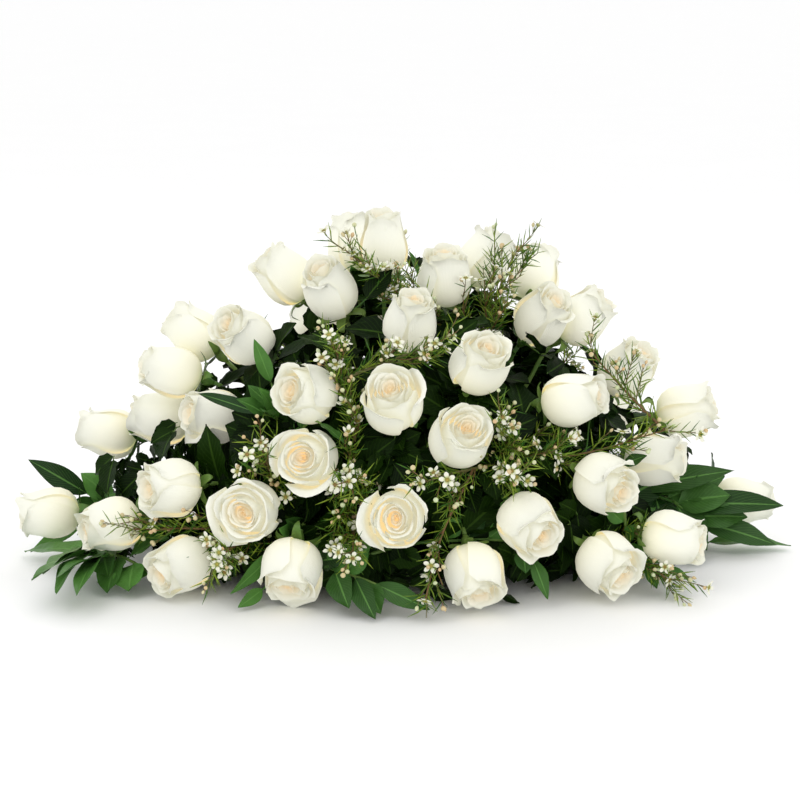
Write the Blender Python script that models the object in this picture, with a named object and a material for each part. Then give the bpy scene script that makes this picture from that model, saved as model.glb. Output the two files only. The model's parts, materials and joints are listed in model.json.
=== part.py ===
"""A rose funeral pillow: a long, low mound of ivory roses, leaves and waxflower in wet foam on a tray.

Metres, +Z up. The long side runs along X and the front faces -Y. The origin is the middle of the tray's
underside.
"""

import math
import random

import bmesh
import bpy
import numpy as np
from mathutils import Matrix, Vector
from mathutils.bvhtree import BVHTree

MM = 0.001
GAP = 0.3 * MM  # between pieces that touch
CLEAR = 1.2 * MM  # least room between pieces of two nodes that don't touch
GROUND = 1.5 * MM  # nothing but the tray comes lower than this
SEED = 15
COLLECTION = "rose_funeral_pillow"
ORIGIN = "pillow_origin"
FLAT_ANGLE = math.radians(0.7)  # faces of one body that turn less than this against each other become one
GOLDEN_ANGLE = math.radians(137.5)
UP = Vector((0, 0, 1))

# The front is laid out as an eye sees it that is 2 m from the middle of the pillow and 12 degrees above it.
EYE_DISTANCE = 2.0
EYE_ELEVATION = math.radians(12.0)

# The mound: the surface on which the middles of the blooms lie.
MOUND_HALF_LENGTH = 385 * MM
MOUND_HALF_DEPTH = 195 * MM
MOUND_SKIRT_HEIGHT = 40 * MM
MOUND_RISE = 300 * MM
MOUND_POWER = 1.35

# The tray, and the wet foam that stands in it.
TRAY_HALF_LENGTH = 190 * MM
TRAY_HALF_DEPTH = 67.5 * MM
TRAY_HEIGHT = 30 * MM
TRAY_WALL = 2.5 * MM
TRAY_DRAFT = 4 * MM
TRAY_RIM = 3 * MM
TRAY_CORNER = 16 * MM
CORNER_STEPS = 3
FOAM_HALF_LENGTH = 178 * MM
FOAM_HALF_DEPTH = 56 * MM
FOAM_BOTTOM = TRAY_WALL + GAP
FOAM_TOP = 120 * MM
FOAM_EDGE = 5 * MM
FOAM_MARGIN = 12 * MM  # from a stem to the edges of the foam
ENTRY_LOW = 42 * MM  # the lowest place where a stem enters the foam
FOCUS_HEIGHT = 70 * MM  # the stems fan out from a line at this height inside the foam
FOCUS_SHARE = 0.45  # how far along that line a stem starts, as a share of its bloom's X
ROOT_DEPTH = 28 * MM
STRAIGHT = 5 * MM  # how far a stem runs straight on outside the foam
HOLE_PLAY = 0.35 * MM

# A bloom, from a closed bud to an open rose.
BUD_RADIUS = 26.0 * MM
OPEN_RADIUS = 33.0 * MM
BUD_HEIGHT = 66 * MM
OPEN_HEIGHT = 56 * MM
PETALS = 5  # in each whorl
SEAT_SHARE = 0.17  # of the bloom's radius: the flat spot that sits on the hip

# A rose's stem, the hip under the bloom and its five sepals.
STEM_RADIUS = 2.3 * MM
HIP_RADIUS = 5.2 * MM
HIP_LENGTH = 13 * MM
SEPAL_REACH = 13 * MM
SEPAL_DROP = 3 * MM

# Leaves: share of the length, share of the width, and how far the edges lift, as a share of the wave.
LEAF_THICKNESS = 1.4 * MM
ROSE_LEAF = [(0.28, 0.94, 1.0), (0.64, 0.96, -0.8)]
ROSE_LEAF_WIDTH = 34 * MM
FREE_LEAF = [(0.46, 0.90, 0.8), (0.74, 0.92, -0.6)]
FREE_LEAF_STEPS = 34  # places tried
FREE_LEAF_LENGTHS = (34 * MM, 74 * MM)
FREE_LEAF_WIDTH = 0.62  # share of the length
FREE_LEAF_ZONE = (22 * MM, 285 * MM)  # heights
FREE_LEAF_DEPTH = 0.74  # how deep in the mound they end, as a share of its depth
LONG_LEAF = [(0.22, 0.72, 0.6), (0.50, 1.0, -0.5), (0.80, 0.62, 0.8)]
LEAF_WAVE = 2.0 * MM

# Waxflower: twigs, needles, florets and buds.
TWIG_RADIUS = 1.5 * MM
TWIG_TIP_RADIUS = 0.8 * MM
NEEDLE_LENGTH = 14 * MM
NEEDLE_RADIUS = 1.0 * MM
NEEDLE_LEAN = math.radians(50)
WHORL_SHARE = 0.25  # where the needles stand, as a share of a twig's last stretch
CUP = 3 * MM
FLORET_RADIUS = 7.5 * MM
FLORET_NOTCH = 3.6 * MM
PEDICEL = 9 * MM
WAX_BUD_RADIUS = 2.6 * MM

# Roses of the front and the top, as seen: how far right of the middle and above the foot of the mound (mm),
# the way the bloom faces (degrees to the right, degrees up), and how open it is. The last value is the depth
# (mm, back is positive) of a bloom that stands behind others or leaves the mound.
SEEN_ROSES = [
    (-22, 323, 0, 84, 0.1, 10),
    (-55, 315, -150, 66, 0.3, 85),
    (-124, 290, -80, 48, 0.3, 5),
    (-77, 280, -40, 55, 0.3, -35),
    (-215, 230, -100, 40, 0.3, 15),
    (-165, 233, -50, 35, 0.5, -45),
    (-239, 194, -80, 18, 0.3, -24),
    (40, 290, 10, 76, 0.5, -10),
    (82, 303, 110, 55, 0.3, 60),
    (5, 250, 25, 66, 0.3, -75),
    (140, 248, 50, 48, 0.4, -10),
    (183, 246, 85, 42, 0.3, 14),
    (132, 283, 160, 55, 0.3, 95),
    (76, 211, 30, 48, 0.5, None),
    (-14, 174, -8, 48, 0.8, None),
    (-103, 179, -40, 20, 0.7, None),
    (-100, 115, -14, 14, 0.9, None),
    (-159, 60, -15, 8, 1.0, None),
    (-8, 56, -5, 12, 0.9, None),
    (57, 137, 20, 38, 0.7, None),
    (172, 172, 65, 12, 0.3, None),
    (227, 192, 60, 48, 0.4, 15),
    (287, 150, 85, 14, 0.4, 15),
    (255, 103, 72, 6, 0.4, -45),
    (203, 86, 42, -12, 0.7, None),
    (127, 48, 34, -22, 0.7, None),
    (274, 28, 68, -4, 0.4, None),
    (207, -2, 32, -22, 0.7, None),
    (70, -12, 14, -42, 0.6, None),
    (-116, -5, -14, -42, 0.9, None),
    (-230, 0, -45, -12, 0.5, None),
    (-301, 40, -62, -4, 0.4, None),
    (-240, 82, -55, 4, 0.6, None),
    (-363, 45, -85, -2, 0.3, -20),
    (-302, 126, -98, 8, 0.3, 30),
    (-250, 141, -88, 12, 0.3, 5),
    (-197, 150, -60, 10, 0.5, -50),
    (343, 52, 98, -3, 0.3, 40),
]
PRESSED_PAIRS = [(5, 7), (11, 12)]  # roses of that list, counted from 1, whose petals press together

# The back, where two roses at a time press together: the pair's middle (mm along X and Z), the way from one
# to the other (degrees from level), and how open they are.
BACK_PAIRS = [
    (-70, 225, 20, 0.5),
    (70, 195, -25, 0.6),
    (-200, 118, -30, 0.6),
    (-60, 122, 15, 0.9),
    (195, 110, 20, 0.7),
    (-120, 42, 5, 0.7),
    (85, 45, 0, 0.8),
]
PAIR_PRESS = 0.88  # how near, as a share of their two radii

# Long leaves, as seen: where each starts and ends (mm right and up), its width, and how far its start and its
# tip stand out from the mound towards the eye. The last value is the depth of a leaf that leaves the mound.
SEEN_LEAVES = [
    (-323, 62, -383, 98, 32, -10, 0, 20),
    (-331, 28, -381, 5, 22, -20, 0, -10),
    (-300, 10, -386, -14, 32, 0, 0, None),
    (-262, -8, -313, -29, 36, 0, 0, None),
    (-130, 20, -178, -22, 24, -25, 15, None),
    (-150, -16, -172, -44, 20, 0, 20, None),
    (-137, 188, -154, 232, 20, -25, 10, None),
    (-150, 158, -211, 177, 18, -5, 15, None),
    (-86, 150, -62, 132, 18, 0, 15, None),
    (17, 285, 1, 322, 14, -10, 5, 0),
    (-30, -12, 25, -37, 26, 0, 20, None),
    (130, 10, 145, -29, 20, -15, 10, None),
    (246, 4, 256, -22, 20, -10, 5, None),
    (250, 0, 296, -17, 22, -15, 10, None),
    (222, 104, 246, 114, 16, -15, 10, None),
    (235, 68, 335, 89, 38, -15, 10, 0),
    (285, 53, 385, 53, 38, -10, 0, -10),
    (300, 36, 378, 12, 36, 0, 0, -10),
    (309, 12, 392, -4, 34, 0, 0, 20),
]

# Tips of waxflower, as seen: mm right and up, and how far they stand out from the mound towards the eye.
SEEN_SPRAYS = [
    (-60, 318, 10),
    (-72, 228, 25),
    (-10, 226, 25),
    (108, 312, 0),
    (50, 236, 25),
    (192, 212, 20),
    (98, 160, 25),
    (110, 98, 25),
    (258, 138, 20),
    (268, -8, 20),
    (22, -25, 25),
    (18, 92, 25),
    (-60, 92, 25),
    (-52, 20, 25),
    (-150, 130, 25),
    (-280, 42, 20),
    (-190, 16, 25),
]

# Long leaves of the back: where each starts (mm along X and Z), the way it points (degrees from level, to the
# left as the back is seen) and its length.
BACK_LEAVES = [
    (330, 60, 175, 60),
    (300, 28, 190, 65),
    (215, 70, 150, 55),
    (120, 175, 60, 55),
    (0, 168, 110, 55),
    (-30, 88, 20, 50),
    (-130, 175, 70, 55),
    (-165, 90, 150, 50),
    (-290, 60, 10, 60),
    (-250, 30, -15, 60),
    (-50, 15, 190, 55),
    (180, 35, -10, 50),
    (170, 150, 130, 55),
    (100, 112, 45, 45),
]
FOLIAGE_SECTORS = [("left", -260, -60), ("front", -20, -150), ("right", 260, -60), ("back", 0, 180)]

# Waxflower of the back (mm along X and Z), and where its branches stand (mm along X and Y).
BACK_SPRAYS = [
    (-10, 262),
    (-150, 190),
    (15, 165),
    (165, 170),
    (-145, 95),
    (15, 85),
    (165, 80),
    (250, 50),
]
WAX_SECTORS = [(-190, -140), (-45, -180), (70, -180), (220, -120), (20, 0), (-80, 150), (180, 150)]


def mix(low, high, share):
    return low + (high - low) * share


def bearing(turn, nod):
    """Unit way that points turn degrees to the right of the front and nod degrees up."""
    turn, nod = math.radians(turn), math.radians(nod)
    return Vector((math.sin(turn) * math.cos(nod), -math.cos(turn) * math.cos(nod), math.sin(nod)))


def mound_depth(x, z):
    """Half the mound's depth at this place, or 0 past its edge."""
    rise = max(z - MOUND_SKIRT_HEIGHT, 0) / MOUND_RISE
    share = abs(x / MOUND_HALF_LENGTH) ** MOUND_POWER + rise ** MOUND_POWER
    return MOUND_HALF_DEPTH * math.sqrt(max(1 - share, 0))


def seen_place(across, up, depth=None, lift=0):
    """The place on the mound's front, or at the given depth, that is seen there. All four are in mm."""
    eye = bearing(0, math.degrees(EYE_ELEVATION)) * EYE_DISTANCE
    up_way = Vector((0, math.sin(EYE_ELEVATION), math.cos(EYE_ELEVATION)))
    way = Vector((across * MM, 0, 0)) + up_way * (up * MM) - eye
    y = 0.0 if depth is None else depth * MM
    place = eye + way * ((y - eye.y) / way.y)
    if depth is None:
        for _ in range(40):
            y = 0.5 * (y - mound_depth(place.x, place.z))
            place = eye + way * ((y - eye.y) / way.y)
    return place - way.normalized() * (lift * MM)


def outward(place):
    """The way from the line that the stems fan out from to this place."""
    return (place - Vector((place.x * FOCUS_SHARE, 0, FOCUS_HEIGHT))).normalized()


class Shape:
    """A closed shape, with a search tree and the box round it."""

    def __init__(self, corners, faces):
        self.corners = [Vector(corner) for corner in corners]
        self.faces = faces
        self.tree = BVHTree.FromPolygons(self.corners, faces)
        self.low = np.min(self.corners, axis=0)
        self.high = np.max(self.corners, axis=0)
        edges = {tuple(sorted((face[n - 1], face[n]))) for face in faces for n in range(len(face))}
        middles = [(self.corners[a] + self.corners[b]) / 2 for a, b in sorted(edges)]
        self.probes = self.corners + middles

    def mesh(self):
        mesh = bpy.data.meshes.new("shape")
        mesh.from_pydata(self.corners, [], self.faces)
        return mesh

    def moved(self, matrix):
        return Shape([matrix @ corner for corner in self.corners], self.faces)


def loft(rings, foot=None, apex=None):
    """A closed shape through rings of corners, each with as many, twice or half as many as the one before.

    It ends in a point at the foot and the apex, or else in flat faces. Facing quads are split alike.
    """
    corners = [corner for ring in rings for corner in ring]
    starts = [sum(len(ring) for ring in rings[:n]) for n in range(len(rings))]
    loops = [list(range(start, start + len(ring))) for start, ring in zip(starts, rings)]
    faces = []
    for low, high in zip(loops, loops[1:]):
        few, many = (low, high) if len(low) <= len(high) else (high, low)
        for n in range(len(few)):
            after = (n + 1) % len(few)
            if len(few) < len(many):
                left, tip, right = many[2 * n], many[2 * n + 1], many[2 * after]
                made = [(few[n], few[after], tip), (few[n], tip, left), (few[after], right, tip)]
                if few is high:
                    made = [tuple(reversed(face)) for face in made]
            elif n % 2:
                made = [(low[n], low[after], high[n]), (low[after], high[after], high[n])]
            else:
                made = [(low[n], low[after], high[after]), (low[n], high[after], high[n])]
            faces += made
    for loop, end, turned in ((loops[0], foot, 1), (loops[-1], apex, -1)):
        if end is None:
            faces.append(tuple(loop[::-turned]))
        else:
            corners.append(end)
            faces += [(len(corners) - 1, loop[n], loop[n - 1])[::turned] for n in range(len(loop))]
    return Shape(corners, faces)


def circle(middle, way, side, radii, sides):
    """Corners round a middle, in a plane across the way. Every second one takes the second radius."""
    side = (side - way * side.dot(way)).normalized()
    up = way.cross(side)
    corners = []
    for n in range(sides):
        angle = 2 * math.pi * n / sides
        corners.append(middle + (side * math.cos(angle) + up * math.sin(angle)) * radii[n % len(radii)])
    return corners


def carried(side, before, after):
    """A side way of a tube, carried along as the tube turns from one way to another."""
    return before.rotation_difference(after).to_matrix() @ side


def tube_rings(places, ways, radii, sides, side):
    """Rings of a round stem through these places, carried back from the side way of its far end."""
    rings = []
    for n in reversed(range(len(places))):
        side = carried(side, ways[min(n + 1, len(places) - 1)], ways[n])
        rings.insert(0, circle(places[n], ways[n], side, [radii[n]], sides))
    return rings


def curve(start, start_way, end, end_way, steps, bend=0.35):
    """Places and ways along a smooth curve, both ends included."""
    reach = (end - start).length * bend
    handles = (start, start + start_way * reach, end - end_way * reach, end)
    places, ways = [], []
    for n in range(steps + 1):
        t = n / steps
        u = 1 - t
        first, second, third, fourth = handles
        places.append(first * u**3 + second * (3 * u * u * t) + third * (3 * u * t * t) + fourth * t**3)
        way = (second - first) * u * u + (third - second) * (2 * u * t) + (fourth - third) * t * t
        ways.append(way.normalized())
    return places, ways


def leaf_rings(start, end, normal, width, stations, arch=0.0):
    """Rings of a thin leaf, whose upper side faces along the normal. Its edges wave."""
    along = (end - start).normalized()
    normal = (normal - along * normal.dot(along)).normalized()
    across = normal.cross(along)
    thick = normal * (LEAF_THICKNESS / 2)
    rings = []
    for n, (share, wide, lift) in enumerate(stations):
        middle = start.lerp(end, share) + normal * (arch * 4 * share * (1 - share))
        edge = across * (width * wide / 2)
        lifts = [normal * (LEAF_WAVE * lift * part) for part in ((1, -0.5) if n % 2 else (-0.5, 1))]
        rings.append([middle + edge + lifts[0], middle + thick, middle - edge + lifts[1], middle - thick])
    return rings


def spindle(foot, tip, radius, share, sides):
    """A thin shape from point to point, thickest at this share of its length."""
    way = (tip - foot).normalized()
    return loft([circle(foot.lerp(tip, share), way, way.orthogonal(), [radius], sides)], foot, tip)


def brick(half_length, half_depth, bottom, top):
    """A plain box on the middle of the pillow."""
    sides = [(-1, -1), (1, -1), (1, 1), (-1, 1)]
    rings = [[Vector((x * half_length, y * half_depth, z)) for x, y in sides] for z in (bottom, top)]
    return loft(rings)


class Room:
    """The shapes placed so far, each with the name of its node."""

    def __init__(self):
        self.taken = []

    def take(self, owner, shape):
        self.taken.append((owner, shape))

    def clear(self, owner, shape, touching=(), margin=CLEAR):
        """Whether a shape keeps clear of the ground and of every node but its own and those it touches."""
        if shape.low[2] < GROUND:
            return False
        for other_owner, other in self.taken:
            if other_owner == owner or other_owner in touching:
                continue
            if np.any(other.low > shape.high + margin) or np.any(other.high < shape.low - margin):
                continue
            if other.tree.overlap(shape.tree):
                return False
            if any(other.tree.find_nearest(probe, margin)[0] is not None for probe in shape.probes):
                return False
            if any(shape.tree.find_nearest(probe, margin)[0] is not None for probe in other.probes):
                return False
        return True


def take_base(room):
    """Keeps the room of the tray and the foam."""
    room.take("tray", brick(TRAY_HALF_LENGTH + TRAY_RIM, TRAY_HALF_DEPTH + TRAY_RIM, 0, TRAY_HEIGHT))
    room.take("foam", brick(FOAM_HALF_LENGTH, FOAM_HALF_DEPTH, FOAM_BOTTOM, FOAM_TOP))


class Rose:
    """One rose: where its bloom sits and faces, its size, and the route of its stem."""

    def __init__(self, number, middle, axis, openness):
        self.number = number
        self.axis = axis
        self.openness = openness
        self.radius = mix(BUD_RADIUS, OPEN_RADIUS, openness)
        self.height = mix(BUD_HEIGHT, OPEN_HEIGHT, openness)
        self.base = middle - axis * (self.height / 2)
        self.owner = f"rose_bloom_{number:02d}"
        self.places = []
        self.ways = []
        spread = math.sqrt(1 - axis.z**2)
        lowest = min(
            self.base.z + axis.z * self.height * level - spread * self.radius * (wide + out)
            for sides, level, wide, out, up in self.rings()
        )
        self.base.z += max(GROUND * 2 - lowest, 0)
        side = "left" if middle.x < 0 else "right"
        self.group = f"rose_stems_{'back' if middle.y > 0 else 'front'}_{side}"

    def rings(self):
        """Rings of the bloom, bottom to top: sides, height and radius shares, and how far tips stand out and
        up."""
        opened = self.openness
        return [
            (PETALS, 0.00, SEAT_SHARE, 0.00, 0.00),
            (PETALS, 0.12, mix(0.70, 0.74, opened), 0.00, 0.00),
            (2 * PETALS, mix(0.40, 0.46, opened), 1.00, 0.03, 0.00),
            (2 * PETALS, mix(0.90, 0.80, opened), mix(0.62, 0.98, opened), 0.07, 0.05),
            (PETALS, mix(0.82, 0.66, opened), mix(0.50, 0.74, opened), 0.00, 0.00),
            (PETALS, mix(0.96, 0.92, opened), mix(0.38, 0.56, opened), 0.00, 0.00),
        ]

    def frame(self):
        """Matrix that puts a bloom drawn upright from the origin in its place."""
        turn = UP.rotation_difference(self.axis).to_matrix().to_4x4()
        spin = Matrix.Rotation(self.number * GOLDEN_ANGLE, 4, "Z")
        return Matrix.Translation(self.base) @ turn @ spin

    def bloom(self):
        """The bloom, upright on the origin, as one closed shape: two whorls of petals and the heart."""
        rings = []
        for sides, level, wide, out, up in self.rings():
            ring = []
            for n in range(sides):
                tip = 0 if sides == PETALS else (1 if n % 2 else -1)
                angle = 2 * math.pi * n / sides
                reach = (wide + tip * out) * self.radius
                height = (level + tip * up) * self.height
                ring.append(Vector((reach * math.cos(angle), reach * math.sin(angle), height)))
            rings.append(ring)
        return loft(rings, apex=Vector((0, 0, mix(1.0, 0.76, self.openness) * self.height)))

    def stem(self, entry, way, bend):
        """The stem from the foam to the hip, the hip and its sepals, with the stem entering the foam here."""
        neck = self.base - self.axis * (GAP + HIP_LENGTH)
        middle = curve(entry, way, neck, self.axis, 2, bend)[0][1]
        way = (middle - entry).normalized()
        self.entry = entry
        self.places = [entry - way * ROOT_DEPTH, middle, neck]
        self.ways = [way, (way + self.axis).normalized(), self.axis]
        side = self.axis.orthogonal()
        rings = tube_rings(self.places, self.ways, [STEM_RADIUS] * 3, PETALS, side)
        top = self.base - self.axis * GAP
        calyx = top - self.axis * SEPAL_DROP
        rings.append(circle(calyx, self.axis, side, [HIP_RADIUS, SEPAL_REACH], 2 * PETALS))
        return loft(rings, apex=top)

    def hole(self):
        """What the stem's hole takes out of the foam."""
        return hole_shape(self.entry, self.places, self.ways, STEM_RADIUS, PETALS, self.axis.orthogonal())

    def below(self, distance):
        """The place on the stem this far below the hip, but outside the foam."""
        root, middle, neck = self.places
        upper = (neck - middle).length
        if distance <= upper:
            return neck.lerp(middle, distance / upper)
        lower = (middle - self.entry).length - STRAIGHT
        return middle.lerp(self.entry, max(min((distance - upper) / lower, 1), 0))


def all_roses():
    roses = []
    for across, up, turn, nod, openness, depth in SEEN_ROSES:
        roses.append(Rose(len(roses) + 1, seen_place(across, up, depth), bearing(turn, nod), openness))
    for x, z, slope, openness in BACK_PAIRS:
        slope = math.radians(slope)
        radius = mix(BUD_RADIUS, OPEN_RADIUS, openness)
        step = Vector((math.cos(slope), 0, math.sin(slope))) * (radius * PAIR_PRESS)
        ends = [Vector((x * MM, 0, z * MM)) + step * side for side in (-1, 1)]
        for end in ends:
            end.y = mound_depth(end.x, end.z)
        middle = (ends[0] + ends[1]) / 2
        for end in ends:
            end = middle + (end - middle).normalized() * (radius * PAIR_PRESS)
            roses.append(Rose(len(roses) + 1, end, outward(end), openness))
    return roses


def foam_entry(target, shift=(0, 0)):
    """Where a stem to this target enters the foam, and its way there. The shift moves it along the face."""
    focus = Vector((target.x * FOCUS_SHARE, 0, FOCUS_HEIGHT))
    focus.x = max(min(focus.x, FOAM_HALF_LENGTH - 45 * MM), 45 * MM - FOAM_HALF_LENGTH)
    way = target - focus
    walls = [math.copysign(FOAM_HALF_LENGTH, way.x), math.copysign(FOAM_HALF_DEPTH, way.y), FOAM_TOP]
    shares = [(walls[n] - focus[n]) / (way[n] or 1e-9) for n in range(3)]
    face = min(range(3), key=lambda n: shares[n] if shares[n] > 0 else math.inf)
    entry = focus + way * shares[face]
    free = [n for n in range(3) if n != face]
    for n, step in zip(free, shift):
        low = ENTRY_LOW if n == 2 else FOAM_MARGIN - abs(walls[n])
        entry[n] = max(min(entry[n] + step, abs(walls[n]) - FOAM_MARGIN), low)
    return entry, (entry - focus).normalized()


def in_foam(place):
    """Whether the end of a root is well inside the foam."""
    level = min(FOAM_HALF_LENGTH - abs(place.x), FOAM_HALF_DEPTH - abs(place.y))
    return min(level, FOAM_TOP - place.z, place.z - FOAM_BOTTOM) > 6 * MM


def shifts(step, rings):
    """Shifts to try: none first, then rings of eight further and further out."""
    tries = [(0.0, 0.0)]
    for n in range(1, rings + 1):
        for k in range(8):
            angle = 2 * math.pi * (k + 0.5 * (n % 2)) / 8
            tries.append((n * step * math.cos(angle), n * step * math.sin(angle)))
    return tries


def lay_stems(room, roses):
    """The stems of the roses by group. None crosses another stem or a bloom."""
    groups = {}
    for rose in roses:
        routes = [(bend, shift) for bend in (0.35, 0.2, 0.5, 0.65) for shift in shifts(7 * MM, 4)]
        for bend, shift in routes:
            entry, way = foam_entry(rose.base, shift)
            rose.shape = rose.stem(entry, way, bend)
            if in_foam(rose.places[0]) and room.clear("stem", rose.shape, (rose.owner, "foam")):
                break
        groups.setdefault(rose.group, []).append(rose)
        room.take(rose.group, rose.shape)
    return groups


def link_leaf(room, group, rose, other, rng):
    """A leaf on one rose's stem with its tip in another's, where it keeps clear of the rest."""
    tries = []
    for width in (1.0, 0.8, 0.6, 0.45):
        for near in (8, 16, 26, 38, 52, 68):
            for far in (8, 16, 26, 38, 52, 68):
                tries.append((near + far + 60 * (1 - width) + rng.uniform(0, 8), width, near, far))
    for _, width, near, far in sorted(tries):
        start, end = rose.below(near * MM), other.below(far * MM)
        along = (end - start).normalized()
        end += along * (0.8 * MM)
        for roll in (0, 25, -25, 50, -50):
            normal = Matrix.Rotation(math.radians(roll), 3, along) @ outward(start.lerp(end, 0.5))
            rings = leaf_rings(start, end, normal, ROSE_LEAF_WIDTH * width, ROSE_LEAF, 2 * MM)
            made = loft(rings, start, end)
            if room.clear(group, made):
                return made
    return None


def link_stems(room, group, roses, rng):
    """Leaves that join the stems of a group into one body, each to its nearest neighbour."""
    shapes = [rose.shape for rose in roses]
    linked, waiting = [roses[0]], list(roses[1:])
    refused = set()
    while waiting:
        pairs = [
            ((rose.below(20 * MM) - other.below(20 * MM)).length, rose.number, other.number, rose, other)
            for rose in waiting
            for other in linked
            if (rose.number, other.number) not in refused
        ]
        _, _, _, rose, other = min(pairs)
        made = link_leaf(room, group, rose, other, rng) or link_leaf(room, group, other, rose, rng)
        if made is None:
            refused.add((rose.number, other.number))
            continue
        shapes.append(made)
        room.take(group, made)
        linked.append(rose)
        waiting.remove(rose)
    return shapes


def free_leaves(room, roses):
    """Leaves that grow from the rose stems out into the gaps between the blooms, front and back, by group."""
    grown = {}
    feet = [(rose, rose.below(step * 14 * MM)) for rose in roses for step in range(1, 7)]
    for n in range(FREE_LEAF_STEPS):
        x = mix(-0.94, 0.94, (n * 0.618034) % 1) * MOUND_HALF_LENGTH
        z = mix(*FREE_LEAF_ZONE, (n * 0.754878) % 1)
        depth = mound_depth(x, z) * FREE_LEAF_DEPTH * (1 if n % 2 else -1)
        end = Vector((x, depth, z))
        spans = [((end - foot).length, k) for k, (_, foot) in enumerate(feet)]
        spans = sorted(span for span in spans if FREE_LEAF_LENGTHS[0] < span[0] < FREE_LEAF_LENGTHS[1])[:4]
        for length, k in spans if depth else []:
            rose, start = feet[k]
            along = (end - start).normalized()
            width = min(FREE_LEAF_WIDTH * length, ROSE_LEAF_WIDTH)
            for roll in (0, 30, -30):
                normal = Matrix.Rotation(math.radians(roll), 3, along) @ (outward(end) + UP * 0.4)
                shape = loft(leaf_rings(start, end, normal, width, FREE_LEAF, 3 * MM), start, end)
                if room.clear(rose.group, shape) and not any(
                    other.tree.overlap(shape.tree) for other in grown.get(rose.group, [])
                ):
                    break
            else:
                continue
            grown.setdefault(rose.group, []).append(shape)
            room.take(rose.group, shape)
            break
    return grown


class Plant:
    """A branching plant of one node: its shapes and the knots that new twigs can leave from."""

    def __init__(self, owner, radius, sides):
        self.owner = owner
        self.radius = radius
        self.sides = sides
        self.shapes = []
        self.knots = []
        self.holes = []

    def add(self, room, shape):
        """Adds a shape where it keeps clear of other nodes."""
        if not room.clear(self.owner, shape):
            return False
        self.shapes.append(shape)
        room.take(self.owner, shape)
        return True

    def keep(self, room, shape, places, ways):
        """Adds a twig, whose places become knots."""
        self.shapes.append(shape)
        room.take(self.owner, shape)
        for n in range(1, len(places)):
            for share in (0.5, 1.0):
                way = ways[n - 1].lerp(ways[n], share).normalized()
                self.knots.append((places[n - 1].lerp(places[n], share), way))

    def root(self, room, target, way, side, thick, tip_radius, ending):
        """The first twig, from the foam to the target. Returns whether there is room for it."""
        for bend in (0.3, 0.15, 0.45):
            for shift in shifts(6 * MM, 5):
                entry, start_way = foam_entry(target, shift)
                middle = curve(entry, start_way, target, way, 2, bend)[0][1]
                start_way = (middle - entry).normalized()
                places = [entry - start_way * ROOT_DEPTH, middle, target]
                ways = [start_way, (start_way + way).normalized(), way]
                if not in_foam(places[0]):
                    continue
                rings = tube_rings(places, ways, [thick, thick, tip_radius], self.sides, side)
                shape = ending(rings, places)
                if room.clear(self.owner, shape, ("foam",)):
                    self.keep(room, shape, [entry + start_way * STRAIGHT, middle, target], ways)
                    self.holes.append(hole_shape(entry, places, ways, thick, self.sides, side))
                    return places, ways
        return None

    def sprout(self, room, target, way, side, tip_radius, ending):
        """A twig to the target from the best knot that has a clear way there. Returns its places and ways."""
        options = []
        for k, (knot, knot_way) in enumerate(self.knots):
            gap = target - knot
            if gap.length > 8 * MM:
                straight = gap.normalized()
                options.append((gap.length * (2.6 - knot_way.dot(straight) - 1.2 * way.dot(straight)), k))
        for _, k in sorted(options)[:20]:
            knot, knot_way = self.knots[k]
            straight = (target - knot).normalized()
            for start_way in ((knot_way + straight).normalized(), straight):
                places, ways = curve(knot, start_way, target, way, 2, 0.3)
                radii = [self.radius, mix(self.radius, tip_radius, 0.4), tip_radius]
                shape = ending(tube_rings(places, ways, radii, self.sides, side), places)
                if room.clear(self.owner, shape):
                    self.keep(room, shape, places, ways)
                    return places, ways
        return None

    def grow(self, room, target, way, side, thick, tip_radius, ending):
        """A twig to the target, from the foam if it is the first."""
        if self.knots:
            return self.sprout(room, target, way, side, tip_radius, ending)
        return self.root(room, target, way, side, thick, tip_radius, ending)


def star(middle, way, side):
    """Corners of a waxflower's five petals."""
    return circle(middle, way, side, [FLORET_RADIUS, FLORET_NOTCH], 2 * PETALS)


def spray_shape(room, owner, rings, places, side):
    """A twig with a whorl of five needles on its last stretch and a flower at its tip.

    A needle that there is no room for is left off.
    """
    start, end = places[-2:]
    way = (end - start).normalized()
    middle = start.lerp(end, WHORL_SHARE)
    step = way * NEEDLE_RADIUS
    lower, upper = (circle(middle + step * n, way, side, [NEEDLE_RADIUS], PETALS) for n in (-1, 1))
    whorl = circle(middle, way, side, [NEEDLE_RADIUS, NEEDLE_LENGTH * math.sin(NEEDLE_LEAN)], 2 * PETALS)
    for n in range(1, 2 * PETALS, 2):
        tip = whorl[n] + way * (NEEDLE_LENGTH * math.cos(NEEDLE_LEAN))
        thin = loft([circle(middle.lerp(tip, 0.3), way, side, [NEEDLE_RADIUS], 3)], middle, tip)
        whorl[n] = tip if room.clear(owner, thin) else middle.lerp(whorl[n], 0.1)
    tip_ring = rings[-1]
    flower = star(end + way * CUP, way, side)
    return loft(rings[:-1] + [lower, whorl, upper, tip_ring, flower], apex=end + way * CUP * 0.8)


def add_beside(room, plant, twig, make, turn):
    """Adds a piece that stands on a twig, turned round it until it keeps clear of all the rest."""
    others = [shape for shape in plant.shapes if shape is not twig]
    for attempt in range(8):
        shape = make(turn + attempt * GOLDEN_ANGLE)
        if any(other.tree.overlap(shape.tree) for other in others):
            continue
        if plant.add(room, shape):
            return True
    return False


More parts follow.
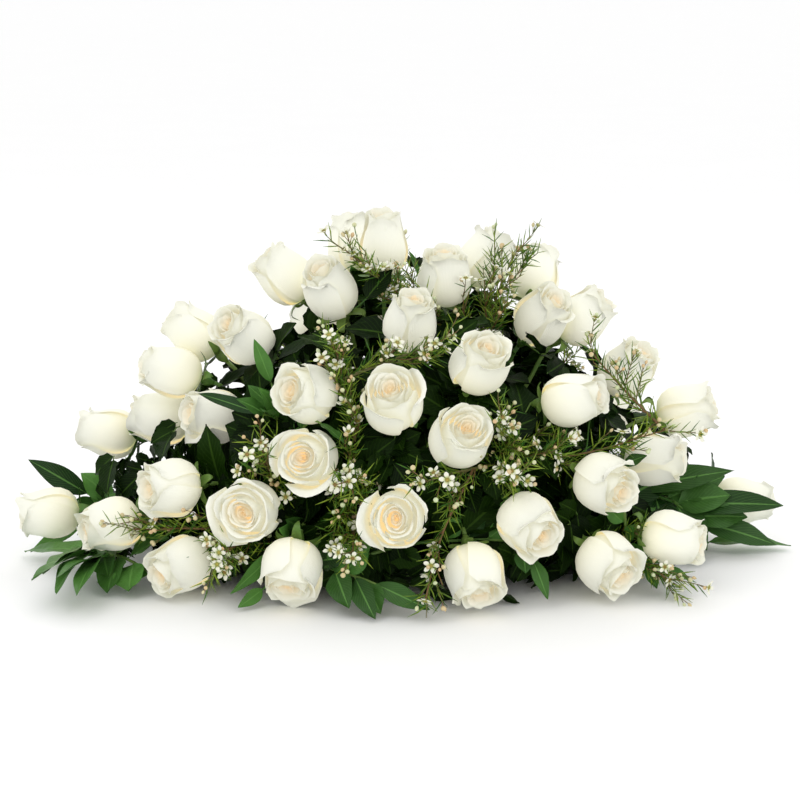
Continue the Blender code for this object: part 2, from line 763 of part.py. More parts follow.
def dress_spray(room, plant, twig, places, way, rng):
    """A side flower and a bud on the last stretch of a twig, where there is room for them."""
    start, end = places[-2:]
    side = way.orthogonal()

    def lean(turn, angle):
        return way * math.cos(angle) + Matrix.Rotation(turn, 3, way) @ side * math.sin(angle)

    def flower(turn):
        foot = start.lerp(end, 0.5)
        head = foot + lean(turn, 0.8) * (1.5 * PEDICEL)
        return loft([star(head, lean(turn, 0.5), side)], foot, head)

    def bud(turn):
        foot = start.lerp(end, 0.78)
        return spindle(foot, foot + lean(turn, 0.9) * (1.3 * PEDICEL), WAX_BUD_RADIUS, 0.72, 3)

    add_beside(room, plant, twig, flower, rng.uniform(0, 2 * math.pi))
    add_beside(room, plant, twig, bud, rng.uniform(0, 2 * math.pi))


def leaf_rows():
    """Foot, tip, the way its upper side faces, width and play of every long leaf."""
    rows = []
    for across, up, tip_across, tip_up, width, lift, tip_lift, depth in SEEN_LEAVES:
        start = seen_place(across, up, depth, lift)
        end = seen_place(tip_across, tip_up, depth, tip_lift)
        face = outward(start.lerp(end, 0.5)) * 0.6 + bearing(0, 40) * 1.2
        rows.append((start, end, face, width * MM, 10 * MM))
    for x, z, turn, length in BACK_LEAVES:
        place = Vector((x * MM, mound_depth(x * MM, z * MM), z * MM))
        out = outward(place)
        level = Vector((out.y, -out.x, 0)).normalized()
        turn = math.radians(turn)
        way = (level * math.cos(turn) + out.cross(level) * math.sin(turn) + out * 0.4).normalized()
        foot = place - out * (12 * MM)
        rows.append((foot, foot + way * (length * MM), out + UP * 0.5, 24 * MM, 25 * MM))
    return rows


def grow_leaf(room, plant, start, end, face, width, loose, rng):
    """A long leaf near these ends on a twig of the plant. Returns whether there is room for it."""
    for attempt in range(16):
        spread = loose * attempt / 16
        foot = start + Vector([rng.uniform(-spread, spread) for _ in range(3)])
        tip = end + Vector([rng.uniform(-spread, spread) for _ in range(3)])
        foot.z = max(foot.z, GROUND + 4 * MM)
        tip.z = max(tip.z, GROUND + 3 * MM)
        along = (tip - foot).normalized()
        normal = (face - along * face.dot(along)).normalized()
        for roll in (0, 20, -20, 45, -45):
            turned = Matrix.Rotation(math.radians(roll), 3, along) @ normal
            blade = leaf_rings(foot, tip, turned, width * (1 - 0.012 * attempt), LONG_LEAF, 4 * MM)
            if not room.clear(plant.owner, loft(blade, foot, tip)):
                continue
            side = turned.cross(along)

            def ending(rings, places):
                return loft(rings + blade, apex=tip)

            if plant.grow(room, foot, along, side, 2.1 * MM, 1.1 * MM, ending):
                return True
    return False


def grow_foliage(room, rng):
    """Leafy stems at both ends, front and back, with the long leaves that are seen and others behind."""
    plants = [Plant("foliage_" + name, 1.9 * MM, 4) for name, x, y in FOLIAGE_SECTORS]
    for start, end, face, width, loose in leaf_rows():
        plant = min(plants, key=lambda one: sector_distance(start, FOLIAGE_SECTORS[plants.index(one)][1:]))
        grow_leaf(room, plant, start, end, face, width, loose, rng)
    return plants


def sector_distance(place, sector):
    return (place.xy - Vector(sector) * MM).length


def grow_waxflower(room, rng):
    """Waxflower branches, each rooted in the foam, that split into sprays between the roses."""
    targets = [seen_place(across, up, None, lift) for across, up, lift in SEEN_SPRAYS]
    for x, z in BACK_SPRAYS:
        place = Vector((x * MM, mound_depth(x * MM, z * MM), z * MM))
        targets.append(place + outward(place) * (20 * MM))
    plants = [Plant(f"waxflower_{n + 1}", TWIG_RADIUS, PETALS) for n in range(len(WAX_SECTORS))]
    waiting = []
    for target in targets:
        near = min(range(len(plants)), key=lambda n: sector_distance(target, WAX_SECTORS[n]))
        waiting.append((near, sector_distance(target, WAX_SECTORS[near]), target))
    sprays = []
    for near, _, target in sorted(waiting, key=lambda one: one[:2]):
        others = sorted(range(len(plants)), key=lambda n: sector_distance(target, WAX_SECTORS[n]))
        for attempt in range(12):
            plant = plants[near] if attempt < 6 else plants[others[attempt % 3]]
            if attempt >= 6 and not plant.knots:
                continue
            loose = mix(3, 12, attempt / 12)
            aim = target + Vector([rng.uniform(-loose, loose) * MM for _ in range(3)])
            aim.z = max(aim.z, 12 * MM)
            way = (outward(aim) + Vector([rng.uniform(-0.3, 0.3) for _ in range(3)])).normalized()
            side = way.orthogonal()

            def ending(rings, places):
                return spray_shape(room, plant.owner, rings, places, side)

            grown = plant.grow(room, aim, way, side, 1.8 * MM, TWIG_TIP_RADIUS, ending)
            if grown:
                sprays.append((plant, plant.shapes[-1], grown[0], way))
                break
    for plant, twig, places, way in sprays:
        dress_spray(room, plant, twig, places, way, rng)
    return plants


def block(half_length, half_depth, bottom, top):
    """A box on the middle of the pillow."""
    made = bmesh.new()
    size = Vector((2 * half_length, 2 * half_depth, top - bottom))
    middle = Vector((0, 0, (bottom + top) / 2))
    bmesh.ops.create_cube(made, size=1, matrix=Matrix.LocRotScale(middle, None, size))
    return made


def to_mesh(made):
    mesh = bpy.data.meshes.new("shape")
    made.to_mesh(mesh)
    made.free()
    return mesh


def extend(made, face, grow, rise):
    """Extrudes a face of the tray up or down and makes it larger or smaller all round."""
    face = bmesh.ops.extrude_discrete_faces(made, faces=[face])["faces"][0]
    half_length = max(vert.co.x for vert in face.verts)
    half_depth = max(vert.co.y for vert in face.verts)
    for vert in face.verts:
        vert.co.x *= 1 + grow / half_length
        vert.co.y *= 1 + grow / half_depth
        vert.co.z += rise
    return face


def tray_mesh():
    """The tray: an open box with round corners, sloping walls and a narrow rim."""
    made = block(TRAY_HALF_LENGTH, TRAY_HALF_DEPTH, 0, TRAY_HEIGHT - TRAY_WALL)
    upright = [edge for edge in made.edges if edge.verts[0].co.xy == edge.verts[1].co.xy]
    bmesh.ops.bevel(
        made, geom=upright, offset=TRAY_CORNER, segments=CORNER_STEPS, profile=0.5, affect="EDGES"
    )
    for vert in made.verts:
        if vert.co.z < TRAY_WALL:
            vert.co.x *= 1 - TRAY_DRAFT / TRAY_HALF_LENGTH
            vert.co.y *= 1 - TRAY_DRAFT / TRAY_HALF_DEPTH
    face = max(made.faces, key=lambda one: one.calc_center_median().z)
    face = extend(made, face, TRAY_RIM, 0)
    face = extend(made, face, 0, TRAY_WALL)
    face = extend(made, face, -TRAY_RIM - TRAY_WALL, 0)
    extend(made, face, -TRAY_DRAFT, TRAY_WALL - TRAY_HEIGHT)
    return to_mesh(made)


def foam_mesh():
    """The block of wet foam, with its top edges worn off."""
    made = block(FOAM_HALF_LENGTH, FOAM_HALF_DEPTH, FOAM_BOTTOM, FOAM_TOP)
    top = max(made.faces, key=lambda one: one.calc_center_median().z)
    bmesh.ops.bevel(made, geom=list(top.edges), offset=FOAM_EDGE, segments=1, affect="EDGES")
    return to_mesh(made)


def hole_shape(entry, places, ways, radius, sides, side):
    """What a stem's hole takes out of the foam: the straight root of the stem with a little play."""
    wide = (radius + HOLE_PLAY) / math.cos(math.pi / sides)
    way = ways[0]
    for n in (2, 1):
        side = carried(side, ways[n], ways[n - 1])
    ends = (places[0] - way * HOLE_PLAY, entry + way * STRAIGHT * 2)
    return loft([circle(end, way, side, [wide], sides) for end in ends])


def place(name, mesh, material, frame=None):
    """The named object of one node, in its place on the pillow."""
    obj = bpy.data.objects.new(name, mesh)
    mesh.materials.clear()
    mesh.materials.append(material)
    bpy.data.collections[COLLECTION].objects.link(obj)
    obj.parent = bpy.data.objects[ORIGIN]
    if frame is not None:
        obj.matrix_local = frame
    return obj


def drop_scraps(made):
    """Removes what a union leaves loose, and keeps the body that holds nearly every face."""
    waiting = set(made.faces)
    bodies = []
    while waiting:
        body, edge = set(), [waiting.pop()]
        while edge:
            face = edge.pop()
            body.add(face)
            for near in {link for side in face.edges for link in side.link_faces} & waiting:
                waiting.discard(near)
                edge.append(near)
        bodies.append(body)
    kept = max(bodies, key=len)
    scraps = [face for body in bodies if body is not kept for face in body]
    bmesh.ops.delete(made, geom=scraps, context="FACES")


def fuse(name, mesh, shapes, material, operation="UNION"):
    """One closed body: the mesh with all these shapes added to it, or taken out of it."""
    parts = bpy.data.collections.new(name + "_parts")
    for shape in shapes:
        parts.objects.link(bpy.data.objects.new("part", shape.mesh()))
    obj = place(name, mesh, material)
    boolean = obj.modifiers.new("boolean", "BOOLEAN")
    boolean.operation = operation
    boolean.operand_type = "COLLECTION"
    boolean.collection = parts
    boolean.solver = "MANIFOLD"
    graph = bpy.context.evaluated_depsgraph_get()
    made = bmesh.new()
    made.from_object(obj, graph)
    obj.modifiers.clear()
    bmesh.ops.dissolve_limit(made, angle_limit=FLAT_ANGLE, verts=made.verts, edges=made.edges)
    drop_scraps(made)
    made.to_mesh(obj.data)
    made.free()
    for part in list(parts.objects):
        bpy.data.objects.remove(part)
    bpy.data.collections.remove(parts)
    return obj


def unite(name, shapes, material):
    return fuse(name, shapes[0].mesh(), shapes[1:], material)


def clear_scene():
    for obj in list(bpy.data.objects):
        bpy.data.objects.remove(obj)


def finish(name, colour, roughness):
    material = bpy.data.materials.new(name)
    material.use_nodes = True
    shader = material.node_tree.nodes["Principled BSDF"]
    shader.inputs["Base Color"].default_value = (*colour, 1)
    shader.inputs["Roughness"].default_value = roughness
    return material


def place_blooms(room, roses, material):
    """Each bloom as its own object, or two that press together as one."""
    seen = len(SEEN_ROSES)
    pairs = PRESSED_PAIRS + [(n, n + 1) for n in range(seen + 1, len(roses), 2)]
    paired = {number for pair in pairs for number in pair}
    for rose in roses:
        room.take(rose.owner, rose.bloom().moved(rose.frame()))
        if rose.number not in paired:
            place(rose.owner, rose.bloom().mesh(), material, rose.frame())
    for numbers in pairs:
        pair = [roses[number - 1] for number in numbers]
        shapes = [rose.bloom().moved(rose.frame()) for rose in pair]
        unite("rose_blooms_{:02d}_{:02d}".format(*numbers), shapes, material)


def main():
    clear_scene()
    bpy.context.scene.collection.children.link(bpy.data.collections.new(COLLECTION))
    bpy.data.collections[COLLECTION].objects.link(bpy.data.objects.new(ORIGIN, None))
    rng = random.Random(SEED)
    room = Room()
    take_base(room)
    roses = all_roses()
    place_blooms(room, roses, finish("rose_petal", (0.90, 0.86, 0.74), 0.55))
    groups = lay_stems(room, roses)
    foliage = grow_foliage(room, rng)
    green = finish("rose_green", (0.12, 0.24, 0.07), 0.5)
    joined = {group: link_stems(room, group, members, rng) for group, members in sorted(groups.items())}
    waxflower = grow_waxflower(room, rng)
    for group, leaves in free_leaves(room, roses).items():
        joined[group] += leaves
    for group, shapes in joined.items():
        unite(group, shapes, green)
    holes = [rose.hole() for rose in roses]
    glossy = finish("leaf_green", (0.07, 0.20, 0.05), 0.35)
    olive = finish("waxflower", (0.42, 0.44, 0.25), 0.6)
    for plants, material in ((foliage, glossy), (waxflower, olive)):
        for plant in plants:
            unite(plant.owner, plant.shapes, material)
            holes += plant.holes
    fuse("foam", foam_mesh(), holes, finish("wet_foam", (0.05, 0.16, 0.08), 0.85), "DIFFERENCE")
    place("tray", tray_mesh(), finish("tray_plastic", (0.02, 0.02, 0.02), 0.4))


main()
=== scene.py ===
"""A rose funeral pillow: a long, low mound of ivory roses, leaves and waxflower in wet foam on a tray.

Metres, +Z up. The long side runs along X and the front faces -Y. The first half lays out the flowers and
grows the stems and twigs. The second half dresses that layout with petals, leaves, florets and needles.
"""

import json
import math
import random

import bpy
import numpy as np
from mathutils import Matrix, Vector
from mathutils.bvhtree import BVHTree
from mathutils.kdtree import KDTree

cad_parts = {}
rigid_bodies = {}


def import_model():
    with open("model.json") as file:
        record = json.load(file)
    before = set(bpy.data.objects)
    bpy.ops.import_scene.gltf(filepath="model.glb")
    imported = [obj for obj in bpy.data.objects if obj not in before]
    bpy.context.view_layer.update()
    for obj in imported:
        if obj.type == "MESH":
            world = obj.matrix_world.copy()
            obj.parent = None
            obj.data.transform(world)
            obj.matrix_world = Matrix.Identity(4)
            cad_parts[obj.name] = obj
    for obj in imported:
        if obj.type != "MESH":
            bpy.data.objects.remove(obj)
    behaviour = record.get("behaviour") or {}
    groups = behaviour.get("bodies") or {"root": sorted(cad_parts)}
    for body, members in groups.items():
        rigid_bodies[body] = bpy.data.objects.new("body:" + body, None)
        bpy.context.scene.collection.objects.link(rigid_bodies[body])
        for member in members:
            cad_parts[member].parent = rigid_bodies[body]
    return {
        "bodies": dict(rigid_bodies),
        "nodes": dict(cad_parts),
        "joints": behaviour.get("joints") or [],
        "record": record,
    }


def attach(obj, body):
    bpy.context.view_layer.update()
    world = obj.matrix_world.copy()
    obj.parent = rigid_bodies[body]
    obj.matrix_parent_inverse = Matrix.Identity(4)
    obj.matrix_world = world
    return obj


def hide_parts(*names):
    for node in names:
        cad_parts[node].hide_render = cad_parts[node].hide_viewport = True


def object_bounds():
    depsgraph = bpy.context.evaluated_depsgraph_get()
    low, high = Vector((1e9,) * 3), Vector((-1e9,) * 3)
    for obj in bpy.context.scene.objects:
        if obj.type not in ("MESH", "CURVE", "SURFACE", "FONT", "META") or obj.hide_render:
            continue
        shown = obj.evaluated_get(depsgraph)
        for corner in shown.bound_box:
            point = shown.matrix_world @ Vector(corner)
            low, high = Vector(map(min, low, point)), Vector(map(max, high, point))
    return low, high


MM = 0.001
GAP = 0.3 * MM  # between pieces that touch
CLEAR = 1.2 * MM  # least room between pieces of two nodes that don't touch
GROUND = 1.5 * MM  # nothing but the tray comes lower than this
SEED = 15
GOLDEN_ANGLE = math.radians(137.5)
ACROSS_STEP, UP_STEP = 0.618034, 0.754878  # shares from one place to the next that spread places evenly
UP = Vector((0, 0, 1))

# The front is laid out as an eye sees it that is 2 m from the middle of the pillow and 12 degrees above it.
EYE_DISTANCE = 2.0
EYE_ELEVATION = math.radians(12.0)

# The mound: the surface on which the middles of the blooms lie.
MOUND_HALF_LENGTH = 385 * MM
MOUND_HALF_DEPTH = 195 * MM
MOUND_SKIRT_HEIGHT = 40 * MM
MOUND_RISE = 300 * MM
MOUND_POWER = 1.35

# The tray, and the wet foam that stands in it.
TRAY_HALF_LENGTH = 190 * MM
TRAY_HALF_DEPTH = 67.5 * MM
TRAY_HEIGHT = 30 * MM
TRAY_RIM = 3 * MM
FOAM_HALF_LENGTH = 178 * MM
FOAM_HALF_DEPTH = 56 * MM
FOAM_BOTTOM = 2.5 * MM + GAP
FOAM_TOP = 120 * MM
FOAM_MARGIN = 12 * MM  # from a stem to the edges of the foam
ENTRY_LOW = 42 * MM  # the lowest place where a stem enters the foam
FOCUS_HEIGHT = 70 * MM  # the stems fan out from a line at this height inside the foam
FOCUS_SHARE = 0.45  # how far along that line a stem starts, as a share of its bloom's X
FOCUS_MARGIN = 45 * MM  # from the ends of the foam to the ends of that line
ROOT_DEPTH = 28 * MM
ROOT_COVER = 6 * MM  # least foam round the end of a root
STRAIGHT = 5 * MM  # how far a stem runs straight on outside the foam
# Tried in turn for a rose's stem and for a plant's first twig: how bent it is, and places on the foam's face,
# as the step between their rings and the number of rings.
STEM_BENDS = (0.35, 0.2, 0.5, 0.65)
STEM_SHIFTS = (7 * MM, 4)
ROOT_BENDS = (0.3, 0.15, 0.45)
ROOT_SHIFTS = (6 * MM, 5)

# A bloom, from a closed bud to an open rose.
BUD_RADIUS = 26.0 * MM
OPEN_RADIUS = 33.0 * MM
BUD_HEIGHT = 66 * MM
OPEN_HEIGHT = 56 * MM
PETALS = 5  # in each whorl
SEAT_SHARE = 0.17  # of the bloom's radius: the flat spot that sits on the hip

# A rose's stem, the hip under the bloom and its five sepals.
STEM_RADIUS = 2.3 * MM
HIP_RADIUS = 5.2 * MM
HIP_LENGTH = 13 * MM
SEPAL_REACH = 13 * MM
SEPAL_DROP = 3 * MM

# Leaves: share of the length, share of the width, and how far the edges lift, as a share of the wave.
LEAF_THICKNESS = 1.4 * MM
ROSE_LEAF = [(0.28, 0.94, 1.0), (0.64, 0.96, -0.8)]
ROSE_LEAF_WIDTH = 34 * MM
LINK_WIDTHS = (1.0, 0.8, 0.6, 0.45)  # shares of that width to try for a leaf from stem to stem
LINK_ENDS = (8, 16, 26, 38, 52, 68)  # how far below the hips its ends may be (mm)
LINK_ROLLS = (0, 25, -25, 50, -50)  # degrees that it may be turned about its length
FREE_LEAF = [(0.46, 0.90, 0.8), (0.74, 0.92, -0.6)]
FREE_LEAF_STEPS = 34  # places tried
FREE_LEAF_ROLLS = (0, 30, -30)  # degrees
FREE_LEAF_LENGTHS = (34 * MM, 74 * MM)
FREE_LEAF_WIDTH = 0.62  # share of the length
FREE_LEAF_SPAN = 0.94  # share of the mound's length
FREE_LEAF_ZONE = (22 * MM, 285 * MM)  # heights
FREE_LEAF_DEPTH = 0.74  # how deep in the mound they end, as a share of its depth
LONG_LEAF = [(0.22, 0.72, 0.6), (0.50, 1.0, -0.5), (0.80, 0.62, 0.8)]
LONG_LEAF_TRIES = 16
LONG_LEAF_ROLLS = (0, 20, -20, 45, -45)  # degrees
SEEN_LEAF_PLAY = 10 * MM  # how far the ends of a leaf may be moved to find room
BACK_LEAF_PLAY = 25 * MM
BACK_LEAF_WIDTH = 24 * MM
BACK_LEAF_SINK = 12 * MM  # how deep in the mound it starts
LEAFY_RADII = (2.1 * MM, 1.1 * MM)  # of a leafy stem that enters the foam, at its foot and its tip
LEAFY_TWIG_RADIUS = 1.9 * MM
LEAF_WAVE = 2.0 * MM

# Waxflower: twigs, needles, florets and buds.
ROOT_RADIUS = 1.8 * MM  # of a twig that enters the foam
TWIG_RADIUS = 1.5 * MM
TWIG_TIP_RADIUS = 0.8 * MM
SPRAY_TRIES = 12  # the first half on the nearest plant, the rest on the three nearest in turn
SPRAY_PLAY = (3, 12)  # how far a spray's tip may be moved, at the first try and the last (mm)
SPRAY_LOWEST = 12 * MM
NEEDLE_LENGTH = 14 * MM
NEEDLE_RADIUS = 1.0 * MM
NEEDLE_LEAN = math.radians(50)
WHORL_SHARE = 0.25  # where the needles stand, as a share of a twig's last stretch
CUP = 3 * MM
FLORET_RADIUS = 7.5 * MM
FLORET_NOTCH = 3.6 * MM
PEDICEL = 9 * MM
WAX_BUD_RADIUS = 2.6 * MM

# Roses of the front and the top, as seen: how far right of the middle and above the foot of the mound (mm),
# the way the bloom faces (degrees to the right, degrees up), and how open it is. The last value is the depth
# (mm, back is positive) of a bloom that stands behind others or leaves the mound.
SEEN_ROSES = [
    (-22, 323, 0, 84, 0.1, 10),
    (-55, 315, -150, 66, 0.3, 85),
    (-124, 290, -80, 48, 0.3, 5),
    (-77, 280, -40, 55, 0.3, -35),
    (-215, 230, -100, 40, 0.3, 15),
    (-165, 233, -50, 35, 0.5, -45),
    (-239, 194, -80, 18, 0.3, -24),
    (40, 290, 10, 76, 0.5, -10),
    (82, 303, 110, 55, 0.3, 60),
    (5, 250, 25, 66, 0.3, -75),
    (140, 248, 50, 48, 0.4, -10),
    (183, 246, 85, 42, 0.3, 14),
    (132, 283, 160, 55, 0.3, 95),
    (76, 211, 30, 48, 0.5, None),
    (-14, 174, -8, 48, 0.8, None),
    (-103, 179, -40, 20, 0.7, None),
    (-100, 115, -14, 14, 0.9, None),
    (-159, 60, -15, 8, 1.0, None),
    (-8, 56, -5, 12, 0.9, None),
    (57, 137, 20, 38, 0.7, None),
    (172, 172, 65, 12, 0.3, None),
    (227, 192, 60, 48, 0.4, 15),
    (287, 150, 85, 14, 0.4, 15),
    (255, 103, 72, 6, 0.4, -45),
    (203, 86, 42, -12, 0.7, None),
    (127, 48, 34, -22, 0.7, None),
    (274, 28, 68, -4, 0.4, None),
    (207, -2, 32, -22, 0.7, None),
    (70, -12, 14, -42, 0.6, None),
    (-116, -5, -14, -42, 0.9, None),
    (-230, 0, -45, -12, 0.5, None),
    (-301, 40, -62, -4, 0.4, None),
    (-240, 82, -55, 4, 0.6, None),
    (-363, 45, -85, -2, 0.3, -20),
    (-302, 126, -98, 8, 0.3, 30),
    (-250, 141, -88, 12, 0.3, 5),
    (-197, 150, -60, 10, 0.5, -50),
    (343, 52, 98, -3, 0.3, 40),
]

# The back, where two roses at a time press together: the pair's middle (mm along X and Z), the way from one
# to the other (degrees from level), and how open they are.
BACK_PAIRS = [
    (-70, 225, 20, 0.5),
    (70, 195, -25, 0.6),
    (-200, 118, -30, 0.6),
    (-60, 122, 15, 0.9),
    (195, 110, 20, 0.7),
    (-120, 42, 5, 0.7),
    (85, 45, 0, 0.8),
]
PAIR_PRESS = 0.88  # how near, as a share of their two radii

# Long leaves, as seen: where each starts and ends (mm right and up), its width, and how far its start and its
# tip stand out from the mound towards the eye. The last value is the depth of a leaf that leaves the mound.
SEEN_LEAVES = [
    (-323, 62, -383, 98, 32, -10, 0, 20),
    (-331, 28, -381, 5, 22, -20, 0, -10),
    (-300, 10, -386, -14, 32, 0, 0, None),
    (-262, -8, -313, -29, 36, 0, 0, None),
    (-130, 20, -178, -22, 24, -25, 15, None),
    (-150, -16, -172, -44, 20, 0, 20, None),
    (-137, 188, -154, 232, 20, -25, 10, None),
    (-150, 158, -211, 177, 18, -5, 15, None),
    (-86, 150, -62, 132, 18, 0, 15, None),
    (17, 285, 1, 322, 14, -10, 5, 0),
    (-30, -12, 25, -37, 26, 0, 20, None),
    (130, 10, 145, -29, 20, -15, 10, None),
    (246, 4, 256, -22, 20, -10, 5, None),
    (250, 0, 296, -17, 22, -15, 10, None),
    (222, 104, 246, 114, 16, -15, 10, None),
    (235, 68, 335, 89, 38, -15, 10, 0),
    (285, 53, 385, 53, 38, -10, 0, -10),
    (300, 36, 378, 12, 36, 0, 0, -10),
    (309, 12, 392, -4, 34, 0, 0, 20),
]

# Tips of waxflower, as seen: mm right and up, and how far they stand out from the mound towards the eye.
SEEN_SPRAYS = [
    (-60, 318, 10),
    (-72, 228, 25),
    (-10, 226, 25),
    (108, 312, 0),
    (50, 236, 25),
    (192, 212, 20),
    (98, 160, 25),
    (110, 98, 25),
    (258, 138, 20),
    (268, -8, 20),
    (22, -25, 25),
    (18, 92, 25),
    (-60, 92, 25),
    (-52, 20, 25),
    (-150, 130, 25),
    (-280, 42, 20),
    (-190, 16, 25),
]

# Long leaves of the back: where each starts (mm along X and Z), the way it points (degrees from level, to the
# left as the back is seen) and its length.
BACK_LEAVES = [
    (330, 60, 175, 60),
    (300, 28, 190, 65),
    (215, 70, 150, 55),
    (120, 175, 60, 55),
    (0, 168, 110, 55),
    (-30, 88, 20, 50),
    (-130, 175, 70, 55),
    (-165, 90, 150, 50),
    (-290, 60, 10, 60),
    (-250, 30, -15, 60),
    (-50, 15, 190, 55),
    (180, 35, -10, 50),
    (170, 150, 130, 55),
    (100, 112, 45, 45),
]
FOLIAGE_SECTORS = [("left", -260, -60), ("front", -20, -150), ("right", 260, -60), ("back", 0, 180)]

# Waxflower of the back (mm along X and Z), and where its branches stand (mm along X and Y).
BACK_SPRAYS = [
    (-10, 262),
    (-150, 190),
    (15, 165),
    (165, 170),
    (-145, 95),
    (15, 85),
    (165, 80),
    (250, 50),
]
WAX_SECTORS = [(-190, -140), (-45, -180), (70, -180), (220, -120), (20, 0), (-80, 150), (180, 150)]

# The petals of a rose in layers, from the heart to the outside. Each pair of rows is for a closed and an
# open bloom, and its lengths are shares of the bloom's radius or height.
LAYERS = (0.0, 0.35, 0.65, 0.85, 1.0)
PETAL_BELLIES = ((0.12, 0.44, 0.72, 0.87, 0.97), (0.10, 0.40, 0.66, 0.80, 0.90))  # radius at the widest
PETAL_RIMS = ((0.04, 0.24, 0.42, 0.55, 0.63), (0.04, 0.25, 0.48, 0.71, 0.93))  # radius near the rim
PETAL_TOPS = ((0.90, 0.95, 0.99, 0.98, 0.94), (0.84, 0.90, 0.94, 0.89, 0.82))  # height
PETAL_ROLLS = ((0.03, 0.07, 0.09, 0.13, 0.20), (0.04, 0.09, 0.12, 0.13, 0.14))  # how far the rim rolls out
PETAL_DROPS = ((0.01, 0.01, 0.02, 0.04, 0.07), (0.02, 0.04, 0.06, 0.08, 0.12))  # how far it rolls down
PETAL_WRAPS = ((125, 90, 80, 72, 64), (125, 88, 74, 68, 62))  # half the angle that it spans (degrees)
PETAL_HEIGHTS = (0.0, 0.08, 0.26, 0.47, 0.68, 0.88, 1.0)  # at even steps from the foot to the rim
PETAL_COUNTS = (15, 21)  # of a closed and an open bloom
PETAL_COLUMNS, PETAL_ROWS, HEART_PETAL_ROWS = 11, 10, 7  # of the grid of places on a petal
PETAL_THICKNESS = 0.7 * MM
PETAL_SEATS = (1.0 * MM, 4.0 * MM)  # radius at the foot, at the heart and outside
PETAL_FLARES = (-0.5, -0.3, 0.0, 0.3, 0.7)  # how much more or less a rim rolls
PETAL_TILTS = (2.2 * MM, 1.2 * MM)  # how far one side of a rim may stand higher, at the heart and outside
PETAL_POINT = 2.8 * MM  # how high the point in the middle of an outer rim is
PETAL_SQUASH = 0.18  # how far the heart of an open bloom is from round
RIM_WAVE = 1.1 * MM  # how far an outer rim waves in and out
RIM_RIPPLE = 0.7 * MM  # and up and down
PRESS_ROOM = 4 * MM  # where two blooms touch, petals this near the plane between them give way
PRESS_GAP = 0.4 * MM  # and stay this far from it
SEPAL_LENGTH = 26 * MM
SEPAL_HALF_WIDTH = 3.4 * MM
SEPAL_THICKNESS = 0.4 * MM
# The hip's height and radius, as shares of its length and its greatest radius.
HIP_PROFILE = ((0.0, 0.44), (0.12, 0.5), (0.3, 0.78), (0.55, 1.0), (0.8, 0.97), (0.93, 0.85), (1.0, 0.8))

# Fine leaves. A low power puts the widest place near the foot, and a low fullness makes the ends blunt.
ROSE_BLADE = {"columns": 5, "rows": 8, "power": 0.74, "fullness": 0.72, "teeth": 0.085}
LONG_BLADE = {"columns": 7, "rows": 13, "power": 0.80, "fullness": 0.9, "teeth": 0.0}
LEAF_EDGE = 0.25 * MM  # thickness at the edges and half the width of the tips
LEAF_RIB = 0.35 * MM  # how much thicker the midrib is
LEAF_FOLDS = (0.05, 0.28)  # how far the sides fold up, as shares of the width
LINK_LEAF_SHARE = 0.95  # width of a plain leaf at its second ring, as a share of the fine leaf's
FREE_LEAF_SHARE = 0.90  # the same for the leaves in the gaps

# Compound leaves, which fill the mound between the blooms and under them.
FILL_TRIES = 1250  # places tried
FILL_SPAN = 0.97  # share of the mound's length
FILL_ZONE = (10 * MM, 318 * MM)  # heights
FILL_DEPTHS = (0.46, 0.88)  # shares of the mound's depth
FILL_LEVEL = 0.90  # how far out in the mound they may reach, where 1 is its face
LEAF_ROOM = 3.2 * MM  # between them and the blooms
LEAFLET_LENGTHS = (34 * MM, 50 * MM)
LEAFLET_WIDTHS = (0.58, 0.72)  # shares of the length
LEAFLET_SHARES = (0.6, 0.85)  # length of those in pairs, as a share of the end leaflet
LEAFLET_STALK = 2 * MM
LEAFLET_REACH = 0.62  # of the stalk behind the end leaflet, as a share of that leaflet
LEAFLET_LEVELS = (0.22, 0.75)  # where the pairs stand on this reach
STALK_LENGTHS = (6 * MM, 75 * MM)  # from the rose stem to the end leaflet
STALK_RADII = [(1.0 - 0.09 * n) * MM for n in range(6)]
LEAFLET_STALK_RADII = (0.6 * MM, 0.5 * MM)

# More long leaves along a leafy stem.
SIDE_LEAF_STEP = 9 * MM  # least distance between them
SIDE_LEAF_REACH = 90 * MM  # how far from the stem's tip they go on
SIDE_LEAF_ANGLES = (32, 60)  # degrees from the stem
SIDE_LEAF_LENGTHS = (0.55, 0.9)  # shares of the length of the leaf at the tip
SIDE_LEAF_WIDTHS = (0.75, 1.0)  # shares of its width
SIDE_LEAF_LOWEST = 3 * MM
SIDE_LEAF_ROOM = 1.0 * MM
SIDE_LEAF_STALK = 3 * MM
SIDE_LEAF_STALK_RADII = (0.9 * MM, 0.8 * MM)

# Small forms of the waxflower. A profile is heights and radii, in mm, or as shares of a needle's length.
NEEDLE_PROFILE = ((0.0, 0.030), (0.5, 0.040), (1.0, 0.008))
CUP_PROFILE = ((0.0, 0.5), (0.4, 0.9), (1.4, 1.9), (2.6, 2.5), (3.0, 2.3), (2.5, 1.7))
DISC_PROFILE = ((2.2, 2.0), (2.7, 1.7), (3.0, 0.5))
BUD_PROFILES = (
    ((0.0, 0.5), (0.6, 1.2), (1.6, 2.1), (3.0, 2.6), (4.3, 2.1), (5.2, 0.6)),
    ((0.0, 0.5), (0.8, 1.3), (2.2, 2.0), (3.6, 1.9), (4.8, 1.2), (5.8, 0.3)),
)
NEEDLE_BENDS = (-0.10, -0.2, 0.05)
FLORETS_OPENED = (1.0, 0.85, 0.35)  # how open each form is: the last is the rarer one
FLORET_THICKNESS = 0.25 * MM
STAMEN_RADII = (0.22 * MM, 0.42 * MM)
TWIG_KIND, NEEDLE_KIND, FLORET_KIND, CUP_KIND, DISC_KIND, BUD_KIND = range(6)

